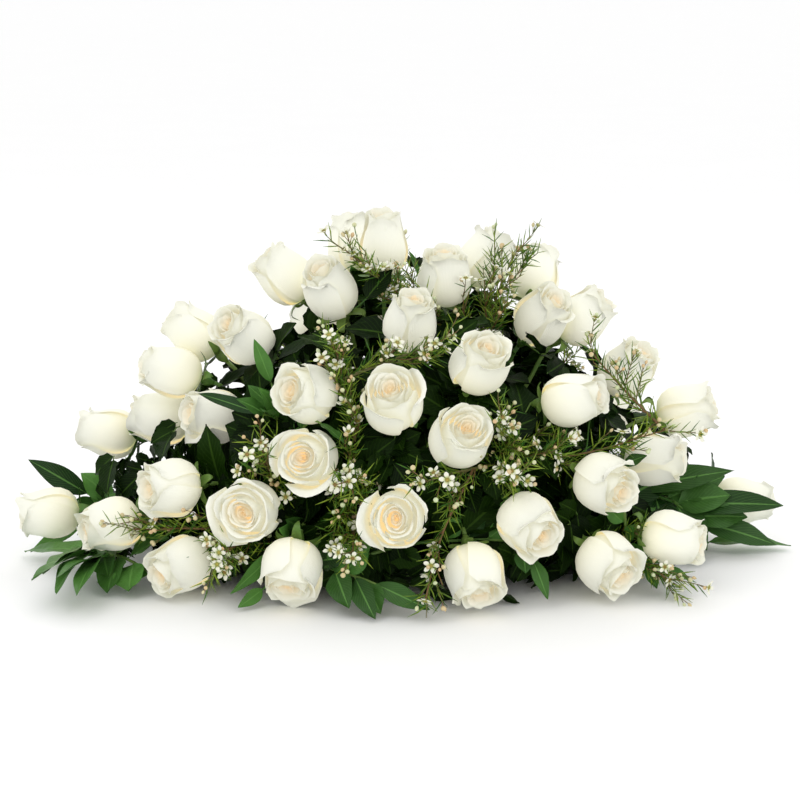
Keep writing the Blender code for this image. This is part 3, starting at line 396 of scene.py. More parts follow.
# How the waxflower is dressed. Angles are radians, and the rooms are least distances from the blooms.
ANY_TURN = (0, 6.3)  # chance angles, and phases of waves
TWIG_TURN = 2.4  # from one side twig to the next, near the golden angle
NEEDLE_TURN = 1.571  # from one pair of needles to the next, a quarter turn
NEEDLE_SPACING = 4.8 * MM
NEEDLE_LENGTHS = (11 * MM, 21 * MM)
NEEDLE_ANGLES = (0.55, 0.95)
NEEDLE_ROOM = 2.2 * MM
COVER_REACH = 90 * MM  # how far off a bloom may be to count as covered
NEEDLES_SPARED = 0.6  # share of the needles left off where a bloom would be covered
TWIGS_SPARED = 0.5  # share of the side twigs left off there
COVERED_PLACES = 2  # of a branch's eight that may cover a bloom
HEAD_STALKS = (4 * MM, 8 * MM)
HEAD_STALK_RADII = (0.35 * MM, 0.45 * MM)
TWIG_HEADS = (1, 2, 3)
BRANCH_TWIG_HEADS = (0, 0, 1, 2)
FLORET_SHARE = 0.2  # of the heads. The others are buds.
WIDE_OPEN_SHARE = 0.75  # of the florets
FLORET_ROOM = 3.2 * MM
FLORET_SIZES = (0.9, 1.08)
BUD_ROOM = 2.6 * MM
BUD_SIZES = (0.75, 1.0)
TWIG_ROOM = 1.2 * MM
TWIG_STEP = 7 * MM  # least distance between side twigs
TWIGGED_LENGTH = 80 * MM  # side twigs with heads stand on this much of a grown twig's end
NEEDLED_LENGTH = 95 * MM  # and needles on this much
LONG_TWIGS = (16 * MM, 34 * MM)  # side twigs of the grown twigs
SHORT_TWIGS = (9 * MM, 20 * MM)  # and of the branches
SIDE_TWIG_RADII = [radius * MM for radius in (0.75, 0.7, 0.6, 0.5, 0.4)]
BRANCH_LENGTHS = (34 * MM, 64 * MM)
BRANCH_LEVEL = 1.12  # how far out in the mound the long branches may reach

# Colours of the petals, and of leaves: deep (a painted shaded green), lit (a painted lit green), midrib and
# underside.
IVORY = (0.84, 0.843, 0.755)
PALE = (0.86, 0.868, 0.815)
# cream: the petals' own tone, and also painted shade low down on the petals
CREAM = (0.85, 0.81, 0.60)
GREENISH = (0.72, 0.74, 0.42)
# peach: the heart's own colour, and also painted warm light in the creases near the foot
PEACH = (0.93, 0.70, 0.38)
ROSE_GREENS = ((0.002, 0.008, 0.0006), (0.011, 0.034, 0.002), (0.045, 0.10, 0.012), (0.035, 0.08, 0.015))
LONG_GREENS = ((0.005, 0.028, 0.003), (0.115, 0.31, 0.052), (0.14, 0.33, 0.07), (0.08, 0.19, 0.04))

# The studio. Each light has a name, a place, a size, its watts and a colour.
CAMERA_AIM = (-0.005, 0, 0.162)
CAMERA_LENS = 90
CAMERA_SENSOR = 36
LIGHT_AIM = (0, 0, 0.15)
LIGHTS = [
    ("key", (-1.1, -1.5, 2.3), 1.2, 8, (1.0, 1.0, 0.97)),
    ("fill", (1.7, -1.6, 1.2), 1.6, 5, (1.0, 1.0, 0.98)),
    ("back", (0.2, 1.9, 1.8), 1.4, 7, (1.0, 1.0, 1.0)),
]
FLOOR_CORNERS = [(-40, -20, 0), (40, -20, 0), (40, 120, 0), (-40, 120, 0)]


def mix(low, high, share):
    return low + (high - low) * share


def jitter(rng, reach):
    """A chance shift of up to this much along each axis."""
    return Vector([rng.uniform(-reach, reach) for _ in range(3)])


def bearing(turn, nod):
    """Unit way that points turn degrees to the right of the front and nod degrees up."""
    turn, nod = math.radians(turn), math.radians(nod)
    return Vector((math.sin(turn) * math.cos(nod), -math.cos(turn) * math.cos(nod), math.sin(nod)))


def mound_share(x, z):
    """How far out in the mound's outline a place is: 0 at its middle and 1 on its edge."""
    rise = max(z - MOUND_SKIRT_HEIGHT, 0) / MOUND_RISE
    return abs(x / MOUND_HALF_LENGTH) ** MOUND_POWER + rise ** MOUND_POWER


def mound_depth(x, z):
    """Half the mound's depth at this place, or 0 past its edge."""
    return MOUND_HALF_DEPTH * math.sqrt(max(1 - mound_share(x, z), 0))


def mound_level(place):
    """How far out in the mound a place is: 0 at its middle and 1 on its face."""
    return mound_share(place.x, place.z) + (place.y / MOUND_HALF_DEPTH) ** 2


def scattered(n, span, zone):
    """X and Z of the nth of many places, spread evenly over this share of the mound's length and a zone."""
    x = mix(-span, span, (n * ACROSS_STEP) % 1) * MOUND_HALF_LENGTH
    return x, mix(*zone, (n * UP_STEP) % 1)


def back_place(x, z):
    """The place on the mound's back with this X and Z in mm."""
    return Vector((x * MM, mound_depth(x * MM, z * MM), z * MM))


def seen_place(across, up, depth=None, lift=0):
    """The place on the mound's front, or at the given depth, that is seen there. All four are in mm."""
    eye = bearing(0, math.degrees(EYE_ELEVATION)) * EYE_DISTANCE
    up_way = Vector((0, math.sin(EYE_ELEVATION), math.cos(EYE_ELEVATION)))
    way = Vector((across * MM, 0, 0)) + up_way * (up * MM) - eye
    y = 0.0 if depth is None else depth * MM
    place = eye + way * ((y - eye.y) / way.y)
    if depth is None:
        for _ in range(40):
            y = 0.5 * (y - mound_depth(place.x, place.z))
            place = eye + way * ((y - eye.y) / way.y)
    return place - way.normalized() * (lift * MM)


def outward(place):
    """The way from the line that the stems fan out from to this place."""
    return (place - Vector((place.x * FOCUS_SHARE, 0, FOCUS_HEIGHT))).normalized()


class Shape:
    """A closed shape, with a search tree and the box round it."""

    def __init__(self, corners, faces):
        self.corners = [Vector(corner) for corner in corners]
        self.faces = faces
        self.tree = BVHTree.FromPolygons(self.corners, faces)
        self.low = np.min(self.corners, axis=0)
        self.high = np.max(self.corners, axis=0)
        edges = {tuple(sorted((face[n - 1], face[n]))) for face in faces for n in range(len(face))}
        middles = [(self.corners[a] + self.corners[b]) / 2 for a, b in sorted(edges)]
        self.probes = self.corners + middles

    def moved(self, matrix):
        return Shape([matrix @ corner for corner in self.corners], self.faces)


def loft(rings, foot=None, apex=None):
    """A closed shape through rings of corners, each with as many, twice or half as many as the one before.

    It ends in a point at the foot and the apex, or else in flat faces. Facing quads are split alike.
    """
    corners = [corner for ring in rings for corner in ring]
    starts = [sum(len(ring) for ring in rings[:n]) for n in range(len(rings))]
    loops = [list(range(start, start + len(ring))) for start, ring in zip(starts, rings)]
    faces = []
    for low, high in zip(loops, loops[1:]):
        few, many = (low, high) if len(low) <= len(high) else (high, low)
        for n in range(len(few)):
            after = (n + 1) % len(few)
            if len(few) < len(many):
                left, tip, right = many[2 * n], many[2 * n + 1], many[2 * after]
                made = [(few[n], few[after], tip), (few[n], tip, left), (few[after], right, tip)]
                if few is high:
                    made = [tuple(reversed(face)) for face in made]
            elif n % 2:
                made = [(low[n], low[after], high[n]), (low[after], high[after], high[n])]
            else:
                made = [(low[n], low[after], high[after]), (low[n], high[after], high[n])]
            faces += made
    for loop, end, turned in ((loops[0], foot, 1), (loops[-1], apex, -1)):
        if end is None:
            faces.append(tuple(loop[::-turned]))
        else:
            corners.append(end)
            faces += [(len(corners) - 1, loop[n], loop[n - 1])[::turned] for n in range(len(loop))]
    shape = Shape(corners, faces)
    shape.rings, shape.foot, shape.apex = rings, foot, apex
    return shape


def circle(middle, way, side, radii, sides):
    """Corners round a middle, in a plane across the way. Every second one takes the second radius."""
    side = (side - way * side.dot(way)).normalized()
    up = way.cross(side)
    corners = []
    for n in range(sides):
        angle = 2 * math.pi * n / sides
        corners.append(middle + (side * math.cos(angle) + up * math.sin(angle)) * radii[n % len(radii)])
    return corners


def carried(side, before, after):
    """A side way of a tube, carried along as the tube turns from one way to another."""
    return before.rotation_difference(after).to_matrix() @ side


def tube_rings(places, ways, radii, sides, side):
    """Rings of a round stem through these places, carried back from the side way of its far end."""
    rings = []
    for n in reversed(range(len(places))):
        side = carried(side, ways[min(n + 1, len(places) - 1)], ways[n])
        rings.insert(0, circle(places[n], ways[n], side, [radii[n]], sides))
    return rings


def curve(start, start_way, end, end_way, steps, bend=0.35):
    """Places and ways along a smooth curve, both ends included."""
    reach = (end - start).length * bend
    handles = (start, start + start_way * reach, end - end_way * reach, end)
    places, ways = [], []
    for n in range(steps + 1):
        t = n / steps
        u = 1 - t
        first, second, third, fourth = handles
        places.append(first * u**3 + second * (3 * u * u * t) + third * (3 * u * t * t) + fourth * t**3)
        way = (second - first) * u * u + (third - second) * (2 * u * t) + (fourth - third) * t * t
        ways.append(way.normalized())
    return places, ways


def leaf_rings(start, end, normal, width, stations, arch=0.0):
    """Rings of a thin leaf, whose upper side faces along the normal. Its edges wave."""
    along = (end - start).normalized()
    normal = (normal - along * normal.dot(along)).normalized()
    across = normal.cross(along)
    thick = normal * (LEAF_THICKNESS / 2)
    rings = []
    for n, (share, wide, lift) in enumerate(stations):
        middle = start.lerp(end, share) + normal * (arch * 4 * share * (1 - share))
        edge = across * (width * wide / 2)
        lifts = [normal * (LEAF_WAVE * lift * part) for part in ((1, -0.5) if n % 2 else (-0.5, 1))]
        rings.append([middle + edge + lifts[0], middle + thick, middle - edge + lifts[1], middle - thick])
    return rings


def spindle(foot, tip, radius, share, sides):
    """A thin shape from point to point, thickest at this share of its length."""
    way = (tip - foot).normalized()
    return loft([circle(foot.lerp(tip, share), way, way.orthogonal(), [radius], sides)], foot, tip)


def brick(half_length, half_depth, bottom, top):
    """A plain box on the middle of the pillow."""
    sides = [(-1, -1), (1, -1), (1, 1), (-1, 1)]
    rings = [[Vector((x * half_length, y * half_depth, z)) for x, y in sides] for z in (bottom, top)]
    return loft(rings)


class Room:
    """The shapes placed so far, each with the name of its node."""

    def __init__(self):
        self.taken = []

    def take(self, owner, shape):
        self.taken.append((owner, shape))

    def clear(self, owner, shape, touching=(), margin=CLEAR):
        """Whether a shape keeps clear of the ground and of every node but its own and those it touches."""
        if shape.low[2] < GROUND:
            return False
        for other_owner, other in self.taken:
            if other_owner == owner or other_owner in touching:
                continue
            if np.any(other.low > shape.high + margin) or np.any(other.high < shape.low - margin):
                continue
            if other.tree.overlap(shape.tree):
                return False
            if any(other.tree.find_nearest(probe, margin)[0] is not None for probe in shape.probes):
                return False
            if any(shape.tree.find_nearest(probe, margin)[0] is not None for probe in other.probes):
                return False
        return True


def take_base(room):
    """Keeps the room of the tray and the foam."""
    room.take("tray", brick(TRAY_HALF_LENGTH + TRAY_RIM, TRAY_HALF_DEPTH + TRAY_RIM, 0, TRAY_HEIGHT))
    room.take("foam", brick(FOAM_HALF_LENGTH, FOAM_HALF_DEPTH, FOAM_BOTTOM, FOAM_TOP))


class Rose:
    """One rose: where its bloom sits and faces, its size, and the route of its stem."""

    def __init__(self, number, middle, axis, openness):
        self.number = number
        self.axis = axis
        self.openness = openness
        self.radius = mix(BUD_RADIUS, OPEN_RADIUS, openness)
        self.height = mix(BUD_HEIGHT, OPEN_HEIGHT, openness)
        self.base = middle - axis * (self.height / 2)
        self.owner = f"rose_bloom_{number:02d}"
        self.places = []
        self.ways = []
        spread = math.sqrt(1 - axis.z**2)
        lowest = min(
            self.base.z + axis.z * self.height * level - spread * self.radius * (wide + out)
            for sides, level, wide, out, up in self.rings()
        )
        self.base.z += max(GROUND * 2 - lowest, 0)
        side = "left" if middle.x < 0 else "right"
        self.group = f"rose_stems_{'back' if middle.y > 0 else 'front'}_{side}"

    def rings(self):
        """Rings of the bloom, bottom to top: sides, shares of its height and radius, and play of its tips."""
        opened = self.openness
        return [
            (PETALS, 0.00, SEAT_SHARE, 0.00, 0.00),
            (PETALS, 0.12, mix(0.70, 0.74, opened), 0.00, 0.00),
            (2 * PETALS, mix(0.40, 0.46, opened), 1.00, 0.03, 0.00),
            (2 * PETALS, mix(0.90, 0.80, opened), mix(0.62, 0.98, opened), 0.07, 0.05),
            (PETALS, mix(0.82, 0.66, opened), mix(0.50, 0.74, opened), 0.00, 0.00),
            (PETALS, mix(0.96, 0.92, opened), mix(0.38, 0.56, opened), 0.00, 0.00),
        ]

    def frame(self):
        """Matrix that puts a bloom drawn upright from the origin in its place."""
        turn = UP.rotation_difference(self.axis).to_matrix().to_4x4()
        spin = Matrix.Rotation(self.number * GOLDEN_ANGLE, 4, "Z")
        return Matrix.Translation(self.base) @ turn @ spin

    def bloom(self):
        """The bloom, upright on the origin, as one closed shape: two whorls of petals and the heart."""
        rings = []
        for sides, level, wide, out, up in self.rings():
            ring = []
            for n in range(sides):
                tip = 0 if sides == PETALS else (1 if n % 2 else -1)
                angle = 2 * math.pi * n / sides
                reach = (wide + tip * out) * self.radius
                height = (level + tip * up) * self.height
                ring.append(Vector((reach * math.cos(angle), reach * math.sin(angle), height)))
            rings.append(ring)
        return loft(rings, apex=Vector((0, 0, mix(1.0, 0.76, self.openness) * self.height)))

    def stem(self, entry, way, bend):
        """The stem from the foam to the hip, the hip and its sepals, with the stem entering the foam here."""
        neck = self.base - self.axis * (GAP + HIP_LENGTH)
        middle = curve(entry, way, neck, self.axis, 2, bend)[0][1]
        way = (middle - entry).normalized()
        self.entry = entry
        self.places = [entry - way * ROOT_DEPTH, middle, neck]
        self.ways = [way, (way + self.axis).normalized(), self.axis]
        side = self.axis.orthogonal()
        rings = tube_rings(self.places, self.ways, [STEM_RADIUS] * 3, PETALS, side)
        top = self.base - self.axis * GAP
        calyx = top - self.axis * SEPAL_DROP
        rings.append(circle(calyx, self.axis, side, [HIP_RADIUS, SEPAL_REACH], 2 * PETALS))
        return loft(rings, apex=top)

    def below(self, distance):
        """The place on the stem this far below the hip, but outside the foam."""
        root, middle, neck = self.places
        upper = (neck - middle).length
        if distance <= upper:
            return neck.lerp(middle, distance / upper)
        lower = (middle - self.entry).length - STRAIGHT
        return middle.lerp(self.entry, max(min((distance - upper) / lower, 1), 0))


def all_roses():
    roses = []
    for across, up, turn, nod, openness, depth in SEEN_ROSES:
        roses.append(Rose(len(roses) + 1, seen_place(across, up, depth), bearing(turn, nod), openness))
    for x, z, slope, openness in BACK_PAIRS:
        slope = math.radians(slope)
        radius = mix(BUD_RADIUS, OPEN_RADIUS, openness)
        step = Vector((math.cos(slope), 0, math.sin(slope))) * (radius * PAIR_PRESS)
        ends = [Vector((x * MM, 0, z * MM)) + step * side for side in (-1, 1)]
        for end in ends:
            end.y = mound_depth(end.x, end.z)
        middle = (ends[0] + ends[1]) / 2
        for end in ends:
            end = middle + (end - middle).normalized() * (radius * PAIR_PRESS)
            roses.append(Rose(len(roses) + 1, end, outward(end), openness))
    return roses


def foam_entry(target, shift=(0, 0)):
    """Where a stem to this target enters the foam, and its way there. The shift moves it along the face."""
    focus = Vector((target.x * FOCUS_SHARE, 0, FOCUS_HEIGHT))
    edge = FOAM_HALF_LENGTH - FOCUS_MARGIN
    focus.x = max(min(focus.x, edge), -edge)
    way = target - focus
    walls = [math.copysign(FOAM_HALF_LENGTH, way.x), math.copysign(FOAM_HALF_DEPTH, way.y), FOAM_TOP]
    shares = [(walls[n] - focus[n]) / (way[n] or 1e-9) for n in range(3)]
    face = min(range(3), key=lambda n: shares[n] if shares[n] > 0 else math.inf)
    entry = focus + way * shares[face]
    free = [n for n in range(3) if n != face]
    for n, step in zip(free, shift):
        low = ENTRY_LOW if n == 2 else FOAM_MARGIN - abs(walls[n])
        entry[n] = max(min(entry[n] + step, abs(walls[n]) - FOAM_MARGIN), low)
    return entry, (entry - focus).normalized()


def in_foam(place):
    """Whether a place is well inside the foam."""
    level = min(FOAM_HALF_LENGTH - abs(place.x), FOAM_HALF_DEPTH - abs(place.y))
    return min(level, FOAM_TOP - place.z, place.z - FOAM_BOTTOM) > ROOT_COVER


def shifts(step, rings):
    """Shifts to try: none first, then rings of eight further and further out."""
    tries = [(0.0, 0.0)]
    for n in range(1, rings + 1):
        for k in range(8):
            angle = 2 * math.pi * (k + 0.5 * (n % 2)) / 8
            tries.append((n * step * math.cos(angle), n * step * math.sin(angle)))
    return tries


def lay_stems(room, roses):
    """The stems of the roses by group. None crosses another stem or a bloom."""
    groups = {}
    for rose in roses:
        routes = [(bend, shift) for bend in STEM_BENDS for shift in shifts(*STEM_SHIFTS)]
        for bend, shift in routes:
            entry, way = foam_entry(rose.base, shift)
            rose.shape = rose.stem(entry, way, bend)
            if in_foam(rose.places[0]) and room.clear("stem", rose.shape, (rose.owner, "foam")):
                break
        groups.setdefault(rose.group, []).append(rose)
        room.take(rose.group, rose.shape)
    return groups


def link_leaf(room, group, rose, other, rng):
    """A leaf on one rose's stem with its tip in another's, where it keeps clear of the rest."""
    tries = []
    for width in LINK_WIDTHS:
        for near in LINK_ENDS:
            for far in LINK_ENDS:
                tries.append((near + far + 60 * (1 - width) + rng.uniform(0, 8), width, near, far))
    for _, width, near, far in sorted(tries):
        start, end = rose.below(near * MM), other.below(far * MM)
        along = (end - start).normalized()
        end += along * (0.8 * MM)
        for roll in LINK_ROLLS:
            normal = Matrix.Rotation(math.radians(roll), 3, along) @ outward(start.lerp(end, 0.5))
            rings = leaf_rings(start, end, normal, ROSE_LEAF_WIDTH * width, ROSE_LEAF, 2 * MM)
            made = loft(rings, start, end)
            if room.clear(group, made):
                return made
    return None


def link_stems(room, group, roses, rng):
    """Leaves that join the stems of a group into one body, each to its nearest neighbour."""
    shapes = [rose.shape for rose in roses]
    linked, waiting = [roses[0]], list(roses[1:])
    refused = set()
    while waiting:
        pairs = [
            ((rose.below(20 * MM) - other.below(20 * MM)).length, rose.number, other.number, rose, other)
            for rose in waiting
            for other in linked
            if (rose.number, other.number) not in refused
        ]
        _, _, _, rose, other = min(pairs)
        made = link_leaf(room, group, rose, other, rng) or link_leaf(room, group, other, rose, rng)
        if made is None:
            refused.add((rose.number, other.number))
            continue
        shapes.append(made)
        room.take(group, made)
        linked.append(rose)
        waiting.remove(rose)
    return shapes


def free_leaves(room, roses):
    """Leaves that grow from the rose stems out into the gaps between the blooms, front and back, by group."""
    grown = {}
    feet = [(rose, rose.below(step * 14 * MM)) for rose in roses for step in range(1, 7)]
    for n in range(FREE_LEAF_STEPS):
        x, z = scattered(n, FREE_LEAF_SPAN, FREE_LEAF_ZONE)
        depth = mound_depth(x, z) * FREE_LEAF_DEPTH * (1 if n % 2 else -1)
        end = Vector((x, depth, z))
        spans = [((end - foot).length, k) for k, (_, foot) in enumerate(feet)]
        spans = sorted(span for span in spans if FREE_LEAF_LENGTHS[0] < span[0] < FREE_LEAF_LENGTHS[1])[:4]
        for length, k in spans if depth else []:
            rose, start = feet[k]
            along = (end - start).normalized()
            width = min(FREE_LEAF_WIDTH * length, ROSE_LEAF_WIDTH)
            for roll in FREE_LEAF_ROLLS:
                normal = Matrix.Rotation(math.radians(roll), 3, along) @ (outward(end) + UP * 0.4)
                shape = loft(leaf_rings(start, end, normal, width, FREE_LEAF, 3 * MM), start, end)
                if room.clear(rose.group, shape) and not any(
                    other.tree.overlap(shape.tree) for other in grown.get(rose.group, [])
                ):
                    break
            else:
                continue
            grown.setdefault(rose.group, []).append(shape)
            room.take(rose.group, shape)
            break
    return grown


class Plant:
    """A branching plant of one node: its shapes and the knots that new twigs can leave from."""

    def __init__(self, owner, radius, sides):
        self.owner = owner
        self.radius = radius
        self.sides = sides
        self.shapes = []
        self.knots = []

    def add(self, room, shape):
        """Adds a shape where it keeps clear of other nodes."""
        if not room.clear(self.owner, shape):
            return False
        self.shapes.append(shape)
        room.take(self.owner, shape)
        return True

    def keep(self, room, shape, places, ways):
        """Adds a twig, whose places become knots."""
        self.shapes.append(shape)
        room.take(self.owner, shape)
        for n in range(1, len(places)):
            for share in (0.5, 1.0):
                way = ways[n - 1].lerp(ways[n], share).normalized()
                self.knots.append((places[n - 1].lerp(places[n], share), way))

    def root(self, room, target, way, side, thick, tip_radius, ending):
        """The first twig, from the foam to the target. Returns whether there is room for it."""
        for bend in ROOT_BENDS:
            for shift in shifts(*ROOT_SHIFTS):
                entry, start_way = foam_entry(target, shift)
                middle = curve(entry, start_way, target, way, 2, bend)[0][1]
                start_way = (middle - entry).normalized()
                places = [entry - start_way * ROOT_DEPTH, middle, target]
                ways = [start_way, (start_way + way).normalized(), way]
                if not in_foam(places[0]):
                    continue
                rings = tube_rings(places, ways, [thick, thick, tip_radius], self.sides, side)
                shape = ending(rings, places)
                if room.clear(self.owner, shape, ("foam",)):
                    self.keep(room, shape, [entry + start_way * STRAIGHT, middle, target], ways)
                    return places, ways
        return None

    def sprout(self, room, target, way, side, tip_radius, ending):
        """A twig to the target from the best knot that has a clear way there. Returns its places and ways."""
        options = []
        for k, (knot, knot_way) in enumerate(self.knots):
            gap = target - knot
            if gap.length > 8 * MM:
                straight = gap.normalized()
                options.append((gap.length * (2.6 - knot_way.dot(straight) - 1.2 * way.dot(straight)), k))
        for _, k in sorted(options)[:20]:
            knot, knot_way = self.knots[k]
            straight = (target - knot).normalized()
            for start_way in ((knot_way + straight).normalized(), straight):
                places, ways = curve(knot, start_way, target, way, 2, 0.3)
                radii = [self.radius, mix(self.radius, tip_radius, 0.4), tip_radius]
                shape = ending(tube_rings(places, ways, radii, self.sides, side), places)
                if room.clear(self.owner, shape):
                    self.keep(room, shape, places, ways)
                    return places, ways
        return None

    def grow(self, room, target, way, side, thick, tip_radius, ending):
        """A twig to the target, from the foam if it is the first."""
        if self.knots:
            return self.sprout(room, target, way, side, tip_radius, ending)
        return self.root(room, target, way, side, thick, tip_radius, ending)


def star(middle, way, side):
    """Corners of a waxflower's five petals."""
    return circle(middle, way, side, [FLORET_RADIUS, FLORET_NOTCH], 2 * PETALS)


def spray_shape(room, owner, rings, places, side):
    """A twig with a whorl of five needles on its last stretch and a flower at its tip.

    A needle that there is no room for is left off.
    """
    start, end = places[-2:]
    way = (end - start).normalized()
    middle = start.lerp(end, WHORL_SHARE)
    step = way * NEEDLE_RADIUS
    lower, upper = (circle(middle + step * n, way, side, [NEEDLE_RADIUS], PETALS) for n in (-1, 1))
    whorl = circle(middle, way, side, [NEEDLE_RADIUS, NEEDLE_LENGTH * math.sin(NEEDLE_LEAN)], 2 * PETALS)
    for n in range(1, 2 * PETALS, 2):
        tip = whorl[n] + way * (NEEDLE_LENGTH * math.cos(NEEDLE_LEAN))
        thin = loft([circle(middle.lerp(tip, 0.3), way, side, [NEEDLE_RADIUS], 3)], middle, tip)
        whorl[n] = tip if room.clear(owner, thin) else middle.lerp(whorl[n], 0.1)
    tip_ring = rings[-1]
    flower = star(end + way * CUP, way, side)
    return loft(rings[:-1] + [lower, whorl, upper, tip_ring, flower], apex=end + way * CUP * 0.8)


def add_beside(room, plant, twig, make, turn):
    """Adds a piece that stands on a twig, turned round it until it keeps clear of all the rest."""
    others = [shape for shape in plant.shapes if shape is not twig]
    for attempt in range(8):
        shape = make(turn + attempt * GOLDEN_ANGLE)
        if any(other.tree.overlap(shape.tree) for other in others):
            continue
        if plant.add(room, shape):
            return True
    return False


def dress_spray(room, plant, twig, places, way, rng):
    """A side flower and a bud on the last stretch of a twig, where there is room for them."""
    start, end = places[-2:]
    side = way.orthogonal()

    def lean(turn, angle):
        return way * math.cos(angle) + Matrix.Rotation(turn, 3, way) @ side * math.sin(angle)

    def flower(turn):
        foot = start.lerp(end, 0.5)
        head = foot + lean(turn, 0.8) * (1.5 * PEDICEL)
        return loft([star(head, lean(turn, 0.5), side)], foot, head)

    def bud(turn):
        foot = start.lerp(end, 0.78)
        return spindle(foot, foot + lean(turn, 0.9) * (1.3 * PEDICEL), WAX_BUD_RADIUS, 0.72, 3)

    add_beside(room, plant, twig, flower, rng.uniform(0, 2 * math.pi))
    add_beside(room, plant, twig, bud, rng.uniform(0, 2 * math.pi))


def leaf_rows():
    """Foot, tip, the way its upper side faces, width and play of every long leaf."""
    rows = []
    for across, up, tip_across, tip_up, width, lift, tip_lift, depth in SEEN_LEAVES:
        start = seen_place(across, up, depth, lift)
        end = seen_place(tip_across, tip_up, depth, tip_lift)
        face = outward(start.lerp(end, 0.5)) * 0.6 + bearing(0, 40) * 1.2
        rows.append((start, end, face, width * MM, SEEN_LEAF_PLAY))
    for x, z, turn, length in BACK_LEAVES:
        place = back_place(x, z)
        out = outward(place)
        level = Vector((out.y, -out.x, 0)).normalized()
        turn = math.radians(turn)
        way = (level * math.cos(turn) + out.cross(level) * math.sin(turn) + out * 0.4).normalized()
        foot = place - out * BACK_LEAF_SINK
        tip = foot + way * (length * MM)
        rows.append((foot, tip, out + UP * 0.5, BACK_LEAF_WIDTH, BACK_LEAF_PLAY))
    return rows


def grow_leaf(room, plant, start, end, face, width, loose, rng):
    """A long leaf near these ends on a twig of the plant. Returns whether there is room for it."""
    for attempt in range(LONG_LEAF_TRIES):
        spread = loose * attempt / LONG_LEAF_TRIES
        foot = start + jitter(rng, spread)
        tip = end + jitter(rng, spread)
        foot.z = max(foot.z, GROUND + 4 * MM)
        tip.z = max(tip.z, GROUND + 3 * MM)
        along = (tip - foot).normalized()
        normal = (face - along * face.dot(along)).normalized()
        for roll in LONG_LEAF_ROLLS:
            turned = Matrix.Rotation(math.radians(roll), 3, along) @ normal
            blade = leaf_rings(foot, tip, turned, width * (1 - 0.012 * attempt), LONG_LEAF, 4 * MM)
            if not room.clear(plant.owner, loft(blade, foot, tip)):
                continue
            side = turned.cross(along)

            def ending(rings, places):
                return loft(rings + blade, apex=tip)

            if plant.grow(room, foot, along, side, *LEAFY_RADII, ending):
                return True
    return False


def grow_foliage(room, rng):
    """Leafy stems at both ends, front and back, with the long leaves that are seen and others behind."""
    plants = [Plant("foliage_" + name, LEAFY_TWIG_RADIUS, 4) for name, x, y in FOLIAGE_SECTORS]
    for start, end, face, width, loose in leaf_rows():
        plant = min(plants, key=lambda one: sector_distance(start, FOLIAGE_SECTORS[plants.index(one)][1:]))
        grow_leaf(room, plant, start, end, face, width, loose, rng)
    return plants


def sector_distance(place, sector):
    return (place.xy - Vector(sector) * MM).length


def grow_waxflower(room, rng):
    """Waxflower branches, each rooted in the foam, that split into sprays between the roses."""
    targets = [seen_place(across, up, None, lift) for across, up, lift in SEEN_SPRAYS]
    for x, z in BACK_SPRAYS:
        place = back_place(x, z)
        targets.append(place + outward(place) * (20 * MM))
    plants = [Plant(f"waxflower_{n + 1}", TWIG_RADIUS, PETALS) for n in range(len(WAX_SECTORS))]
    waiting = []
    for target in targets:
        near = min(range(len(plants)), key=lambda n: sector_distance(target, WAX_SECTORS[n]))
        waiting.append((near, sector_distance(target, WAX_SECTORS[near]), target))
    sprays = []
    for near, _, target in sorted(waiting, key=lambda one: one[:2]):
        others = sorted(range(len(plants)), key=lambda n: sector_distance(target, WAX_SECTORS[n]))
        for attempt in range(SPRAY_TRIES):
            late = attempt >= SPRAY_TRIES // 2
            plant = plants[others[attempt % 3]] if late else plants[near]
            if late and not plant.knots:
                continue
            aim = target + jitter(rng, mix(*SPRAY_PLAY, attempt / SPRAY_TRIES) * MM)
            aim.z = max(aim.z, SPRAY_LOWEST)
            way = (outward(aim) + jitter(rng, 0.3)).normalized()
            side = way.orthogonal()

            def ending(rings, places):
                return spray_shape(room, plant.owner, rings, places, side)

            grown = plant.grow(room, aim, way, side, ROOT_RADIUS, TWIG_TIP_RADIUS, ending)
            if grown:
                sprays.append((plant, plant.shapes[-1], grown[0], way))
                break
    for plant, twig, places, way in sprays:
        dress_spray(room, plant, twig, places, way, rng)
    return plants


def shares(count):
    """Evenly spaced values from 0 to 1."""
    return np.linspace(0, 1, count)


def stacked(*parts):
    """A grid whose last axis holds these parts, each spread over the whole grid."""
    return np.stack(np.broadcast_arrays(*parts), axis=-1)


def sheet_axes(columns, rows):
    """Values from -1 to 1 across a sheet, and from 0 to 1 along it."""
    return np.linspace(-1, 1, columns)[:, None], shares(rows)[None, :]


def shaded(across, along, third, chance):
    """The shading values of a sheet."""
    return stacked(across * 0.5 + 0.5, along, third, chance)


def placed(origin, ways, parts):
    """A grid of places, each these three parts along three ways from the origin."""
    return np.array(origin) + stacked(*parts) @ np.array(ways)


def through(points, share):
    """Smooth values through evenly spaced points, at these shares of the way."""
    points = np.asarray(points, float)
    last = len(points) - 1
    x = np.clip(share, 0, 1) * last
    k = np.minimum(x.astype(int), last - 1)
    f = x - k
    before, low, high = points[np.maximum(k - 1, 0)], points[k], points[k + 1]
    after = points[np.minimum(k + 2, last)]
    slope = high - before
    bend = 2 * before - 5 * low + 4 * high - after
    return 0.5 * (2 * low + slope * f + bend * f**2 + (3 * low - before - 3 * high + after) * f**3)


